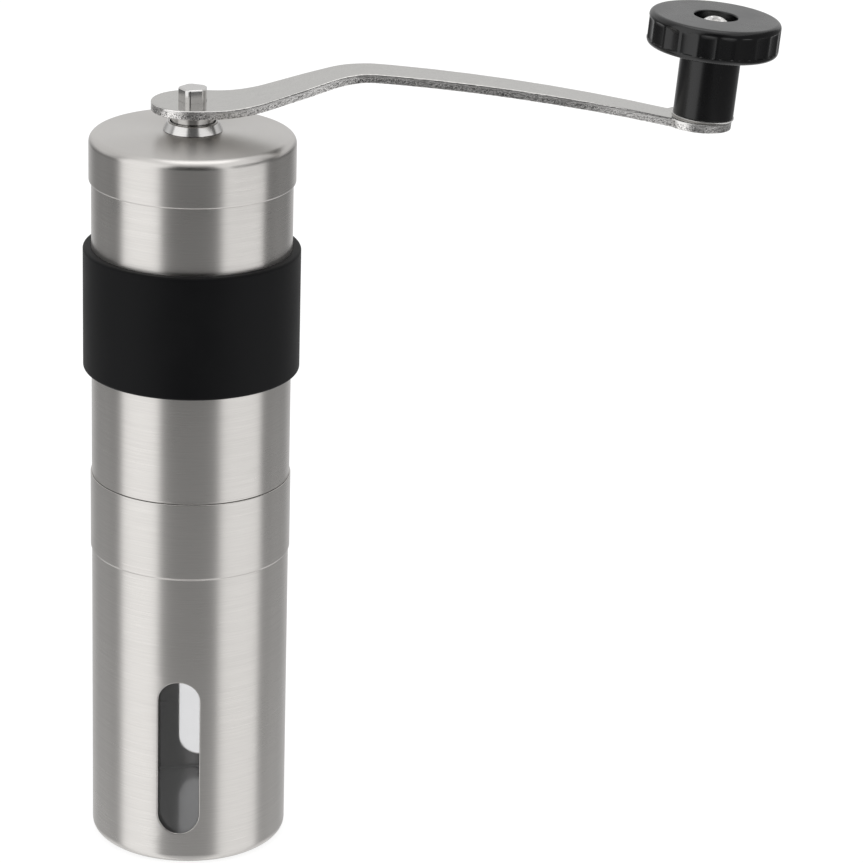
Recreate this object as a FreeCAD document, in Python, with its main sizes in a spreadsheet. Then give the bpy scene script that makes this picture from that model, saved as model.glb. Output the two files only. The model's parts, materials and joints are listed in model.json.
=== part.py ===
"""Hand crank coffee grinder: a steel catch cup, a bean hopper with ceramic burrs, a lid and a crank.

Millimetres, +Z up. The origin is the middle of the flat base and the crank arm points along +X.
Every size that can be chosen is one cell of the sheet "Dims", and each sub-part is bound to those cells.
Each sub-part is written to parts/NODE.step.
"""
import FreeCAD
import Part
import Sketcher
import math
import os
from types import SimpleNamespace

DRIVING_SIZES = (
    ("tube_diameter", 47.0, "outside of the cup and of the hopper tube"),
    ("tube_wall", 0.5, "steel sheet of the tubes and the lid"),
    ("cup_height", 93.0, "base to the seam between cup and hopper"),
    ("base_round", 2.1, "outer rounding of the cup's base"),
    ("collar_length", 18.8, "widened mouth of the cup"),
    ("collar_swell", 0.3, "how far the widened mouth stands out"),
    ("window_width", 10.0, "view slots in the cup"),
    ("window_bottom", 8.0, "lower end of the view slots"),
    ("window_top", 47.6, "upper end of the view slots"),
    ("window_turn", -6.4, "the cup's turn about its axis, in degrees"),
    ("liner_wall", 1.0, "clear liner of the cup"),
    ("liner_floor", 4.0, "thick floor of the liner"),
    ("liner_drop", 1.0, "from the widened mouth down to the liner's rim"),
    ("slip_gap", 0.08, "radial clearance of parts that slide or turn in each other"),
    ("seat_gap", 0.1, "radial clearance of parts that are pushed together for good"),
    ("hopper_length", 80.4, "bean hopper tube"),
    ("flange_thickness", 0.4, "plastic edge that shows at the seam"),
    ("skirt_length", 17.6, "burr housing inside the cup's mouth"),
    ("skirt_wall", 1.7, "burr housing below the ring burr"),
    ("funnel_rise", 18.6, "burr housing inside the hopper tube"),
    ("funnel_lip", 0.6, "upper edge of the funnel"),
    ("ring_cover", 3.85, "burr housing around the ring burr"),
    ("ring_height", 15.6, "height of the ring burr"),
    ("ring_rise", 2.0, "top of the ring burr above the seam"),
    ("ring_lip", 4.0, "upper end of the ring burr, from its outside to its mouth"),
    ("waist_gap", 1.7, "radial gap between the burrs at the ring burr's waist"),
    ("ring_waist_height", 8.6, "height of the waist above the ring's lower face"),
    ("ring_foot", 3.6, "lower end of the ring burr, from its outside in to its edge"),
    ("burr_gap", 0.4, "radial gap between the burrs at the finest setting"),
    ("burr_land", 0.9, "height of the burrs' straight lower edge"),
    ("cone_height", 16.3, "height of the cone burr"),
    ("cone_top_wall", 1.8, "upper end of the cone burr, round the carrier's sleeve"),
    ("tooth_count", 14.0, "teeth of each burr"),
    ("tooth_width", 1.5, "edge length of the square cutter that leaves a tooth groove"),
    ("tooth_slope", 22.0, "slant of the teeth, in degrees"),
    ("retainer_height", 2.0, "ring that holds the ring burr up"),
    ("retainer_lip", 2.0, "how far the retaining ring reaches under the ring burr"),
    ("spoke_width", 4.0, "arms of the burr housing and of the bridge"),
    ("spoke_height", 5.0, "height of those arms"),
    ("spoke_root", 2.5, "from the housing's outside to the ends of its arms"),
    ("hub_radius", 7.0, "hubs that hold the bushes"),
    ("hub_height", 6.0, "height of those hubs"),
    ("lower_bush_rise", 10.0, "lower hub above the seam"),
    ("bridge_drop", 17.8, "lower face of the bridge's hub below the tube's rim"),
    ("bridge_ring_wall", 1.8, "outer ring of the bridge"),
    ("bush_wall", 1.5, "wall of both bushes"),
    ("bush_flange", 0.6, "thickness of the bushes' flange"),
    ("bush_flange_width", 1.2, "how far that flange stands out"),
    ("shaft_radius", 3.45, "drive shaft, and corners of its five-sided end"),
    ("shaft_rise", 3.2, "five-sided end above the arm"),
    ("shaft_chamfer", 0.4, "height of the chamfer on the five-sided end"),
    ("shaft_chamfer_width", 0.35, "width of that chamfer"),
    ("shaft_end_step", 0.02, "from the round shaft in to the corners of its five-sided end"),
    ("shaft_end_turn", 176.0, "turn of the five-sided end's first corner, in degrees"),
    ("thread_relief", 0.08, "threaded lower end of the shaft inside the square's flats"),
    ("thread_length", 15.4, "length of that end"),
    ("square_length", 21.2, "square length that turns the cone burr"),
    ("square_relief", 0.15, "corners of the square length inside the round shaft"),
    ("square_play", 0.12, "corner clearance of the carrier on the square"),
    ("collar_wall", 1.77, "shaft collar that the arm sits on, round the shaft"),
    ("collar_height", 7.2, "shaft collar"),
    ("washer_radius", 6.2, "thrust washer and retaining clip"),
    ("washer_thickness", 0.6, "thrust washer and spring washer"),
    ("clip_thickness", 0.8, "retaining clip"),
    ("groove_depth", 0.55, "depth of the clip's groove"),
    ("clip_mouth", 4.9, "open side of the clip"),
    ("carrier_margin", 3.0, "plate of the burr carrier inside the cone burr's edge"),
    ("carrier_plate", 2.4, "thickness of that plate"),
    ("sleeve_wall", 1.78, "sleeve in the cone burr, round the square"),
    ("carrier_drop", 0.2, "cone burr's lower face below the ring burr's"),
    ("sleeve_proud", 0.3, "sleeve above the cone burr"),
    ("square_set", 0.8, "lower end of the square above the carrier's lower face"),
    ("spring_wire", 0.8, "wire of the burr spring"),
    ("spring_play", 0.65, "radial clearance of the spring on the shaft"),
    ("spring_turns", 4.0, "turns of the burr spring"),
    ("dial_radius", 11.5, "grind adjuster"),
    ("dial_height", 8.6, "grind adjuster"),
    ("dial_lobes", 10.0, "finger grooves round the adjuster"),
    ("dial_groove", 2.2, "radius of those grooves"),
    ("dial_groove_out", 1.0, "centre of those grooves outside the adjuster's edge"),
    ("dial_play", 0.95, "radial clearance of the adjuster on the shaft's end"),
    ("nut_flats", 8.0, "brass nut in the adjuster, across its flats"),
    ("nut_height", 5.0, "brass nut in the adjuster"),
    ("grip_start", 26.1, "lower edge of the hopper tube to the grip band"),
    ("grip_height", 29.5, "silicone grip band"),
    ("grip_thickness", 2.0, "silicone grip band"),
    ("grip_round", 0.55, "outer rounding of the band"),
    ("cap_skirt", 11.0, "side of the lid"),
    ("cap_round", 2.0, "rounding of the lid's edge"),
    ("cap_dome", 1.1, "rise of the lid from its edge to the neck"),
    ("cap_bow", 0.17, "crown of the lid's top between its edge and the neck"),
    ("cap_insert_flange", 1.6, "plastic insert between the tube's rim and the lid"),
    ("cap_insert_depth", 5.8, "spigot of that insert inside the tube"),
    ("cap_insert_wall", 1.3, "wall of that spigot"),
    ("cap_insert_room", 0.4, "radial room of that insert's hole round the neck's flare"),
    ("neck_wall", 0.35, "neck where it is pressed into the lid"),
    ("neck_foot_wall", 1.6, "neck at the lid, round the collar"),
    ("neck_rim_wall", 0.7, "neck at its top, round the collar"),
    ("neck_height", 2.2, "neck above the lid"),
    ("neck_flare_wall", 1.7, "neck's pressed flare under the lid, round the collar"),
    ("neck_flare_height", 0.8, "that flare"),
    ("arm_gap", 2.6, "neck's top to the arm's lower face"),
    ("arm_thickness", 2.1, "plate of the arm"),
    ("arm_hub_radius", 9.75, "round end of the arm at the shaft"),
    ("arm_reach", 118.4, "shaft to the knob's axis"),
    ("arm_boss_radius", 8.0, "round end of the arm under the knob"),
    ("arm_boss_back", 1.2, "middle of that round end, back from the knob's axis"),
    ("arm_foot_x", 10.7, "first bend of the arm, from the shaft"),
    ("arm_crest_x", 36.8, "second bend, from the shaft"),
    ("arm_crest_rise", 8.35, "second bend above the hub"),
    ("arm_bow", 1.4, "crown of the long stretch between the second bend and the last"),
    ("arm_end_back", 7.9, "last bend, back from the knob's axis"),
    ("arm_end_drop", 1.8, "last bend below the hub"),
    ("arm_foot_bend", 41.0, "inner radius of the first bend"),
    ("arm_crest_bend", 30.0, "outer radius of the second bend"),
    ("arm_end_bend", 12.0, "inner radius of the last bend"),
    ("arm_root_half", 9.55, "half width where the round hub ends"),
    ("arm_shoulder_x", 26.0, "end of the wide stretch"),
    ("arm_shoulder_half", 7.4, "half width there"),
    ("arm_waist_x", 38.5, "start of the narrow stretch"),
    ("arm_waist_half", 5.1, "half width there"),
    ("arm_tip_half", 4.55, "half width at the boss"),
    ("arm_plan_round", 15.0, "rounding of the outline's shoulder and waist"),
    ("knob_tilt", 4.4, "lean of the knob towards the arm's end, in degrees"),
    ("knob_washer_thickness", 0.4, "steel washer under the knob"),
    ("knob_washer_radius", 6.6, "steel washer under the knob"),
    ("knob_stem_radius", 7.05, "stem of the knob"),
    ("knob_height", 23.6, "knob from its stem's foot to its top"),
    ("knob_disc_radius", 15.35, "disc of the knob"),
    ("knob_disc_height", 7.9, "disc of the knob"),
    ("knob_flutes", 21.0, "shallow hollows round the disc"),
    ("flute_radius", 9.0, "radius of those hollows"),
    ("flute_depth", 0.34, "depth of those hollows"),
    ("flute_margin", 1.3, "from the hollows to the disc's faces"),
    ("knob_round", 1.2, "rounding of the disc's edges"),
    ("recess_radius", 5.1, "hole in the top of the knob"),
    ("recess_depth", 3.0, "hole in the top of the knob"),
    ("screw_radius", 2.5, "shank that the knob turns on"),
    ("screw_head_radius", 3.5, "domed head of the screw"),
    ("screw_head_edge", 0.5, "straight side of the screw's head"),
    ("screw_head_dome", 2.0, "dome of the screw's head"),
)

doc = FreeCAD.newDocument("Grinder")
sheet = doc.addObject("Spreadsheet::Sheet", "Dims")


class Size:
    """A number together with the sheet expression that gives it."""

    def __init__(self, value, text):
        self.value = float(value)
        self.text = text

    def joined(self, sign, other, value):
        return Size(value, f"({self.text} {sign} {other.text})")

    def __add__(self, other):
        other = as_size(other)
        return self.joined("+", other, self.value + other.value)

    def __radd__(self, other):
        return as_size(other) + self

    def __sub__(self, other):
        other = as_size(other)
        return self.joined("-", other, self.value - other.value)

    def __rsub__(self, other):
        return as_size(other) - self

    def __mul__(self, other):
        other = as_size(other)
        return self.joined("*", other, self.value * other.value)

    def __rmul__(self, other):
        return as_size(other) * self

    def __truediv__(self, other):
        other = as_size(other)
        return self.joined("/", other, self.value / other.value)

    def __neg__(self):
        return as_size(0) - self


def as_size(thing):
    return thing if isinstance(thing, Size) else Size(thing, repr(float(thing)))


def cosine(angle):
    angle = as_size(angle)
    return Size(math.cos(math.radians(angle.value)), f"cos({angle.text})")


def sine(angle):
    angle = as_size(angle)
    return Size(math.sin(math.radians(angle.value)), f"sin({angle.text})")


def root(size):
    return Size(math.sqrt(size.value), f"sqrt({size.text})")


def tangent(angle):
    angle = as_size(angle)
    return Size(math.tan(math.radians(angle.value)), f"tan({angle.text})")


def fill_sheet():
    """Write the driving sizes into the sheet and return them by name."""
    sizes = {}
    for row, (alias, value, note) in enumerate(DRIVING_SIZES, start=1):
        sheet.set(f"A{row}", alias)
        sheet.set(f"B{row}", str(value))
        sheet.set(f"C{row}", note)
        sheet.setAlias(f"B{row}", alias)
        sizes[alias] = Size(value, f"Dims.{alias}")
    doc.recompute()
    return SimpleNamespace(**sizes)


d = fill_sheet()


# ---------------------------------------------------------------- document helpers

def bind(thing, prop, size):
    """Set a size of an object and tie it to the sheet."""
    size = as_size(size)
    setattr(thing, prop, size.value)
    thing.setExpression(prop, size.text)


def place(thing, x=0, y=0, z=0, turn=None, axis=(0, 0, 1)):
    """Put an object at x, y, z, turned about an axis through that point, tied to the sheet."""
    spots = [as_size(x), as_size(y), as_size(z)]
    angle = as_size(turn if turn is not None else 0)
    rotation = FreeCAD.Rotation(FreeCAD.Vector(*axis), angle.value)
    thing.Placement = FreeCAD.Placement(FreeCAD.Vector(*[spot.value for spot in spots]), rotation)
    for name, spot in zip("xyz", spots):
        thing.setExpression(f"Placement.Base.{name}", spot.text)
    if turn is not None:
        thing.setExpression("Placement.Rotation.Angle", angle.text)
    return thing


def new_body(name):
    body = doc.addObject("PartDesign::Body", name)
    body.Label = name
    return body


def new_sketch(body, role, lift=0):
    """An empty sketch on one of the body's own planes, lifted along that plane's normal."""
    sketch = body.newObject("Sketcher::SketchObject", f"{body.Name}_sketch")
    plane = [item for item in body.Origin.OriginFeatures if item.Role == role][0]
    sketch.AttachmentSupport = (plane, [""])
    sketch.MapMode = "FlatFace"
    lift = as_size(lift)
    sketch.AttachmentOffset = FreeCAD.Placement(FreeCAD.Vector(0, 0, lift.value), FreeCAD.Rotation())
    sketch.setExpression("AttachmentOffset.Base.z", lift.text)
    return sketch


def pin_point(sketch, edge, end, across, up):
    """Hold one end of a sketch edge at a place that comes from the sheet."""
    for kind, axis, size in (("DistanceX", -2, across), ("DistanceY", -1, up)):
        if abs(size.value) < 1e-9:
            sketch.addConstraint(Sketcher.Constraint("PointOnObject", edge, end, axis))
            continue
        number = sketch.addConstraint(Sketcher.Constraint(kind, -1, 1, edge, end, size.value))
        sketch.setExpression(f"Constraints[{number}]", size.text)


def bowed(start, end, rise):
    """The arc between two points that stands off their chord by rise, to the right if it is positive."""
    chord = end - start
    middle = (start + end) * 0.5
    right = FreeCAD.Vector(chord.y, -chord.x, 0).normalize()
    half = chord.Length / 2
    radius = (half * half + rise * rise) / (2 * abs(rise))
    side = 1 if rise > 0 else -1
    centre = middle + right * (rise - side * radius)
    first, last = (start, end) if rise > 0 else (end, start)
    angles = [math.atan2(point.y - centre.y, point.x - centre.x) for point in (first, last)]
    return Part.ArcOfCircle(Part.Circle(centre, FreeCAD.Vector(0, 0, 1), radius), angles[0], angles[1])


def outline(sketch, corners):
    """Add a closed outline. A corner is (across, up), with a third number where the next edge is bowed."""
    base = sketch.GeometryCount
    spots = [(as_size(corner[0]), as_size(corner[1])) for corner in corners]
    rises = [as_size(corner[2]) if len(corner) > 2 else None for corner in corners]
    points = [FreeCAD.Vector(across.value, up.value, 0) for across, up in spots]
    ends = []
    for index, rise in enumerate(rises):
        start = points[index]
        end = points[(index + 1) % len(points)]
        if rise is None:
            sketch.addGeometry(Part.LineSegment(start, end), False)
            ends.append((1, 2))
            continue
        number = sketch.addGeometry(bowed(start, end, rise.value), False)
        ends.append((1, 2) if rise.value > 0 else (2, 1))
        wide = spots[(index + 1) % len(spots)][0] - spots[index][0]
        high = spots[(index + 1) % len(spots)][1] - spots[index][1]
        stand = rise if rise.value > 0 else -rise
        radius = ((wide * wide + high * high) / 4 + stand * stand) / (2 * stand)
        held = sketch.addConstraint(Sketcher.Constraint("Radius", number, radius.value))
        sketch.setExpression(f"Constraints[{held}]", radius.text)
    for index, (across, up) in enumerate(spots):
        following = (index + 1) % len(spots)
        pin_point(sketch, base + index, ends[index][0], across, up)
        meeting = (base + index, ends[index][1], base + following, ends[following][0])
        sketch.addConstraint(Sketcher.Constraint("Coincident", *meeting))


def circle(sketch, across, up, radius):
    """Add a circle to a sketch."""
    across, up, radius = as_size(across), as_size(up), as_size(radius)
    shape = Part.Circle(FreeCAD.Vector(across.value, up.value, 0), FreeCAD.Vector(0, 0, 1), radius.value)
    edge = sketch.addGeometry(shape, False)
    pin_point(sketch, edge, 3, across, up)
    number = sketch.addConstraint(Sketcher.Constraint("Radius", edge, radius.value))
    sketch.setExpression(f"Constraints[{number}]", radius.text)


def polygon(sketch, count, corner_radius, first_angle=0):
    """Add a regular polygon to a sketch, its first corner at first_angle degrees from the sketch's X."""
    corners = []
    for index in range(count):
        angle = first_angle + 360.0 * index / count
        corners.append((corner_radius * cosine(angle), corner_radius * sine(angle)))
    outline(sketch, corners)


def revolved(name, *outlines):
    """A body turned about its Z axis from outlines of (radius, height)."""
    body = new_body(name)
    sketch = new_sketch(body, "XZ_Plane")
    for corners in outlines:
        outline(sketch, corners)
    feature = body.newObject("PartDesign::Revolution", f"{name}_turned")
    feature.Profile = sketch
    feature.ReferenceAxis = (sketch, ["V_Axis"])
    feature.Angle = 360
    doc.recompute()
    return body


def pad(body, sketch, length, both_ways=False):
    feature = body.newObject("PartDesign::Pad", f"{body.Name}_pad")
    feature.Profile = sketch
    bind(feature, "Length", length)
    feature.SideType = "Symmetric" if both_ways else "One side"
    doc.recompute()
    return feature


def pocket(body, sketch, length=None):
    """Cut a sketch upwards for a length, or both ways through everything."""
    before = body.Shape.Volume
    feature = body.newObject("PartDesign::Pocket", f"{body.Name}_pocket")
    feature.Profile = sketch
    if length is None:
        feature.Type = "ThroughAll"
        feature.SideType = "Symmetric"
    else:
        bind(feature, "Length", length)
        feature.Reversed = True
    doc.recompute()
    if body.Shape.Volume > before - 1e-3:
        raise ValueError(f"{body.Name}: a pocket cut nothing")
    return feature


def primitive(body, kind, sizes, **where):
    """Add or cut a box or cylinder in a body."""
    feature = body.newObject(f"PartDesign::{kind}", f"{body.Name}_{kind}")
    for prop, size in sizes.items():
        bind(feature, prop, size)
    place(feature, **where)
    doc.recompute()
    return feature


def repeat_round(body, feature, count):
    """Repeat a feature round the body's Z axis, as often as the sheet says."""
    axis = [item for item in body.Origin.OriginFeatures if item.Role == "Z_Axis"][0]
    pattern = body.newObject("PartDesign::PolarPattern", f"{body.Name}_round")
    pattern.Originals = [feature]
    pattern.Axis = (axis, [""])
    pattern.Angle = 360
    count = as_size(count)
    pattern.Occurrences = int(count.value)
    pattern.setExpression("Occurrences", count.text)
    body.Tip = pattern
    doc.recompute()
    return pattern


def edges_where(shape, test):
    return [f"Edge{number}" for number, edge in enumerate(shape.Edges, start=1) if test(edge)]


def rims_at(*spots):
    """A test for full circles about Z with one of the given (radius, height) pairs."""
    def test(edge):
        if not isinstance(edge.Curve, Part.Circle):
            return False
        curve = edge.Curve
        return any(abs(curve.Radius - as_size(radius).value) < 1e-4
                   and abs(curve.Center.z - as_size(height).value) < 1e-4
                   for radius, height in spots)
    return test


def bends_at(*spots):
    """A test for straight edges along Y through one of the given (x, z) pairs."""
    def test(edge):
        box = edge.BoundBox
        return box.YLength > 1 and box.XLength < 1e-6 and any(
            abs(box.XMin - as_size(x).value) < 1e-4 and abs(box.ZMin - as_size(z).value) < 1e-4
            for x, z in spots)
    return test


def posts_at(*spots):
    """A test for straight edges along Z through one of the given (x, y) pairs."""
    def test(edge):
        box = edge.BoundBox
        return box.ZLength > 1 and box.XLength < 1e-6 and any(
            abs(box.XMin - as_size(x).value) < 1e-4 and abs(box.YMin - as_size(y).value) < 1e-4
            for x, y in spots)
    return test


def cylinder(name, radius, height, **where):
    solid = doc.addObject("Part::Cylinder", name)
    bind(solid, "Radius", radius)
    bind(solid, "Height", height)
    return place(solid, **where)


def joined(kind, name, base, tool):
    """A boolean of two objects: Part::Fuse, Part::Cut or Part::Common."""
    result = doc.addObject(kind, name)
    result.Label = name
    result.Base = base
    result.Tool = tool
    doc.recompute()
    return result


def rounded(body, radius, test, kind="Fillet"):
    """Round, or chamfer, the edges of a body that pass a test."""
    base = body.Tip
    names = edges_where(base.Shape, test)
    if not names:
        raise ValueError(f"{body.Name}: no edge to round")
    feature = body.newObject(f"PartDesign::{kind}", f"{body.Name}_{kind}")
    feature.Base = (base, names)
    bind(feature, "Radius" if kind == "Fillet" else "Size", radius)
    body.Tip = feature
    doc.recompute()
    return feature


# ---------------------------------------------------------------- levels and radii that parts share

tube_outer = d.tube_diameter / 2
tube_inner = tube_outer - d.tube_wall
collar_outer = tube_outer + d.collar_swell
collar_inner = collar_outer - d.tube_wall
collar_start = d.cup_height - d.collar_length

seam = d.cup_height
tube_start = seam + d.flange_thickness
tube_end = tube_start + d.hopper_length
tube_fit = tube_inner - d.seat_gap

skirt_start = seam - d.skirt_length
skirt_outer = collar_inner - d.slip_gap
skirt_inner = skirt_outer - d.skirt_wall
funnel_top = tube_start + d.funnel_rise
ring_top = seam + d.ring_rise
ring_bottom = ring_top - d.ring_height
ring_seat = tube_fit - d.ring_cover
ring_radius = ring_seat - d.seat_gap / 2
ring_throat = ring_radius - d.ring_lip
cone_radius = ring_radius - d.ring_foot - d.burr_gap
retainer_bore = ring_radius - d.retainer_lip
carrier_radius = cone_radius - d.carrier_margin

square_corner = d.shaft_radius - d.square_relief
thread_radius = square_corner * cosine(45) - d.thread_relief
groove_radius = d.shaft_radius - d.groove_depth
collar_radius = d.shaft_radius + d.collar_wall
spring_radius = d.shaft_radius + d.spring_play + d.spring_wire / 2
carrier_bore = square_corner + d.square_play
carrier_sleeve = carrier_bore + d.sleeve_wall
cone_top_radius = carrier_sleeve + d.cone_top_wall
dial_bore = thread_radius + d.dial_play

bush_bore = d.shaft_radius + d.slip_gap / 2
bush_outer = bush_bore + d.bush_wall
bush_flange_outer = bush_outer + d.bush_flange_width
lower_hub = seam + d.lower_bush_rise
upper_hub = tube_end - d.bridge_drop
upper_bush_top = upper_hub + d.hub_height + d.bush_flange
clip_start = upper_bush_top + d.washer_thickness

carrier_bottom = ring_bottom - d.carrier_plate - d.carrier_drop
cone_bottom = carrier_bottom + d.carrier_plate
cone_top = cone_bottom + d.cone_height
carrier_sleeve_top = cone_top + d.sleeve_proud
land_top = cone_bottom + d.burr_land
waist_level = ring_bottom + d.ring_waist_height
cone_slope = (cone_radius - cone_top_radius) / (cone_top - land_top)
ring_waist = cone_radius - cone_slope * (waist_level - land_top) + d.waist_gap
spring_washer_top = lower_hub - d.bush_flange
spring_top = spring_washer_top - d.washer_thickness
square_start = carrier_bottom + d.square_set
shaft_start = square_start - d.thread_length
dial_top = carrier_bottom - d.seat_gap

cap_top = tube_end + d.cap_insert_flange + d.seat_gap + d.tube_wall
cap_outer = tube_outer + d.seat_gap + d.tube_wall
cap_inner = cap_outer - d.tube_wall
neck_seat = cap_top + d.cap_dome
neck_bore = collar_radius + d.slip_gap
neck_hole = neck_bore + d.neck_wall + d.seat_gap / 2
neck_foot = neck_bore + d.neck_foot_wall
neck_rim = neck_bore + d.neck_rim_wall
neck_flare = neck_bore + d.neck_flare_wall
cap_insert_hole = neck_flare + d.cap_insert_room

arm_underside = neck_seat + d.neck_height + d.arm_gap
arm_top = arm_underside + d.arm_thickness
shaft_top = arm_top + d.shaft_rise


# ---------------------------------------------------------------- catch cup

def make_catch_cup():
    """Drawn steel cup with a widened mouth and two view slots that face each other."""
    body = revolved("catch_cup", [
        (0, 0),
        (tube_outer, 0),
        (tube_outer, collar_start - d.collar_swell),
        (collar_outer, collar_start),
        (collar_outer, seam),
        (collar_inner, seam),
        (collar_inner, collar_start + d.collar_swell / 2),
        (tube_inner, collar_start - d.collar_swell / 2),
        (tube_inner, d.tube_wall),
        (0, d.tube_wall)])
    rounded(body, d.base_round, rims_at((tube_outer, 0)))
    rounded(body, d.base_round - d.tube_wall, rims_at((tube_inner, d.tube_wall)))
    half = d.window_width / 2
    through = d.tube_diameter * 1.5
    primitive(body, "SubtractiveBox",
              {"Length": d.window_width, "Width": through,
               "Height": d.window_top - d.window_bottom - d.window_width},
              x=-half, y=-(through / 2), z=d.window_bottom + half)
    for level in (d.window_bottom + half, d.window_top - half):
        primitive(body, "SubtractiveCylinder", {"Radius": half, "Height": through},
                  y=through / 2, z=level, turn=90, axis=(1, 0, 0))
    return place(body, turn=d.window_turn)


def make_cup_liner():
    """Clear beaker inside the cup that holds the ground coffee behind the slots."""
    outer = tube_inner - d.seat_gap
    inner = outer - d.liner_wall
    floor = d.tube_wall + d.liner_floor
    rim = collar_start - d.collar_swell - d.liner_drop
    body = revolved("cup_liner", [
        (0, d.tube_wall), (outer, d.tube_wall), (outer, rim), (inner, rim), (inner, floor), (0, floor)])
    rounded(body, d.base_round, rims_at((outer, d.tube_wall)))
    rounded(body, d.base_round - d.liner_wall, rims_at((inner, floor)))
    return body


# ---------------------------------------------------------------- hopper

def make_hopper_tube():
    return revolved("hopper_tube", [
        (tube_inner, tube_start), (tube_outer, tube_start), (tube_outer, tube_end), (tube_inner, tube_end)])


def make_grip_band():
    """Silicone sleeve stretched round the hopper tube."""
    low = tube_start + d.grip_start
    high = low + d.grip_height
    outer = tube_outer + d.grip_thickness
    body = revolved("grip_band", [(tube_outer, low), (outer, low), (outer, high), (tube_outer, high)])
    rounded(body, d.grip_round, rims_at((outer, low), (outer, high)))
    return body


def add_spider(body, low, reach):
    """Three arms and a hub with a bore for a bush, fused to the body's outer ring."""
    arm = primitive(body, "AdditiveBox",
                    {"Length": reach, "Width": d.spoke_width, "Height": d.spoke_height},
                    y=-(d.spoke_width / 2), z=low)
    repeat_round(body, arm, 3)
    primitive(body, "AdditiveCylinder", {"Radius": d.hub_radius, "Height": d.hub_height}, z=low)
    primitive(body, "SubtractiveCylinder", {"Radius": bush_outer, "Height": d.hub_height * 2},
              z=low - d.hub_height / 2)


def make_burr_housing():
    """Plastic housing: a skirt that plugs into the cup, the ring burr's seat, a funnel and a spider."""
    body = revolved("burr_housing", [
        (skirt_inner, skirt_start),
        (skirt_outer, skirt_start),
        (skirt_outer, seam),
        (tube_outer, seam),
        (tube_outer, tube_start),
        (tube_fit, tube_start),
        (tube_fit, funnel_top),
        (tube_fit - d.funnel_lip, funnel_top),
        (ring_throat, ring_top + d.ring_rise),
        (ring_throat, ring_top),
        (ring_seat, ring_top),
        (ring_seat, ring_bottom),
        (skirt_inner, ring_bottom)])
    add_spider(body, lower_hub, tube_fit - d.spoke_root)
    return body


def cut_teeth(body, radius, height, lean):
    """Cut slanted V grooves into a burr: a square cutter on its edge, laid along the grinding face."""
    cutter = body.newObject("PartDesign::SubtractiveBox", f"{body.Name}_groove")
    long_side = d.ring_height * 2
    bind(cutter, "Length", d.tooth_width)
    bind(cutter, "Width", d.tooth_width)
    bind(cutter, "Height", long_side)
    on_edge = FreeCAD.Rotation(FreeCAD.Vector(0, 0, 1), 45)
    slant = FreeCAD.Rotation(FreeCAD.Vector(1, 0, 0), d.tooth_slope.value)
    tilt = FreeCAD.Rotation(FreeCAD.Vector(0, 1, 0), lean)
    turn = slant.multiply(tilt).multiply(on_edge)
    corner = FreeCAD.Vector(d.tooth_width.value / 2, d.tooth_width.value / 2, long_side.value / 2)
    middle = FreeCAD.Vector(radius.value, 0, height.value)
    cutter.Placement = FreeCAD.Placement(middle - turn.multVec(corner), turn)
    doc.recompute()
    return repeat_round(body, cutter, d.tooth_count)


def make_ring_burr():
    """Fixed ceramic burr: a throat that narrows to a waist and widens to the grinding edge."""
    edge = cone_radius + d.burr_gap
    body = revolved("ring_burr", [
        (edge, ring_bottom),
        (ring_radius, ring_bottom),
        (ring_radius, ring_top),
        (ring_throat, ring_top),
        (ring_waist, waist_level),
        (edge, ring_bottom + d.burr_land)])
    lean = math.atan2((edge - ring_waist).value, (waist_level - ring_bottom).value)
    cut_teeth(body, (edge + ring_waist) / 2, (ring_bottom + waist_level) / 2, -math.degrees(lean))
    return body


def make_burr_retainer():
    """Plastic ring, pushed into the skirt, that holds the ring burr up."""
    low = ring_bottom - d.retainer_height
    outer = skirt_inner - d.seat_gap
    return revolved("burr_retainer", [
        (retainer_bore, low), (outer, low), (outer, ring_bottom), (retainer_bore, ring_bottom)])


def make_bush(name, low, flange_below):
    """Flanged bush in a hub: its flange is under the hub, or on top of it."""
    high = low + d.hub_height
    if flange_below:
        return revolved(name, [
            (bush_bore, low - d.bush_flange), (bush_flange_outer, low - d.bush_flange),
            (bush_flange_outer, low), (bush_outer, low), (bush_outer, high), (bush_bore, high)])
    return revolved(name, [
        (bush_bore, low), (bush_outer, low), (bush_outer, high), (bush_flange_outer, high),
        (bush_flange_outer, high + d.bush_flange), (bush_bore, high + d.bush_flange)])


def make_shaft_bridge():
    """Plastic spider in the hopper tube that carries the shaft's upper bush."""
    high = upper_hub + d.spoke_height
    body = revolved("shaft_bridge", [
        (tube_fit - d.bridge_ring_wall, upper_hub), (tube_fit, upper_hub), (tube_fit, high),
        (tube_fit - d.bridge_ring_wall, high)])
    add_spider(body, upper_hub, tube_fit - d.bridge_ring_wall / 2)
    return body


# ---------------------------------------------------------------- lid

def make_cap_shell():
    """Steel lid with a shallow crown and a hole for the neck."""
    low = cap_top - d.cap_skirt
    body = revolved("cap_shell", [
        (cap_inner, low),
        (cap_outer, low),
        (cap_outer, cap_top, d.cap_bow),
        (neck_hole, neck_seat),
        (neck_hole, neck_seat - d.tube_wall, -d.cap_bow),
        (cap_inner, cap_top - d.tube_wall)])
    rounded(body, d.cap_round, rims_at((cap_outer, cap_top)))
    rounded(body, d.cap_round - d.tube_wall, rims_at((cap_inner, cap_top - d.tube_wall)))
    return body


def make_cap_neck():
    """Polished ring pressed into the lid, which guides the shaft's collar."""
    flare_top = neck_seat - d.tube_wall - d.seat_gap
    return revolved("cap_neck", [
        (neck_bore, flare_top - d.neck_flare_height),
        (neck_flare, flare_top - d.neck_flare_height),
        (neck_flare, flare_top),
        (neck_hole - d.seat_gap / 2, flare_top),
        (neck_hole - d.seat_gap / 2, neck_seat + d.seat_gap / 4),
        (neck_foot, neck_seat + d.seat_gap / 4),
        (neck_rim, neck_seat + d.neck_height),
        (neck_bore, neck_seat + d.neck_height)])


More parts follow.
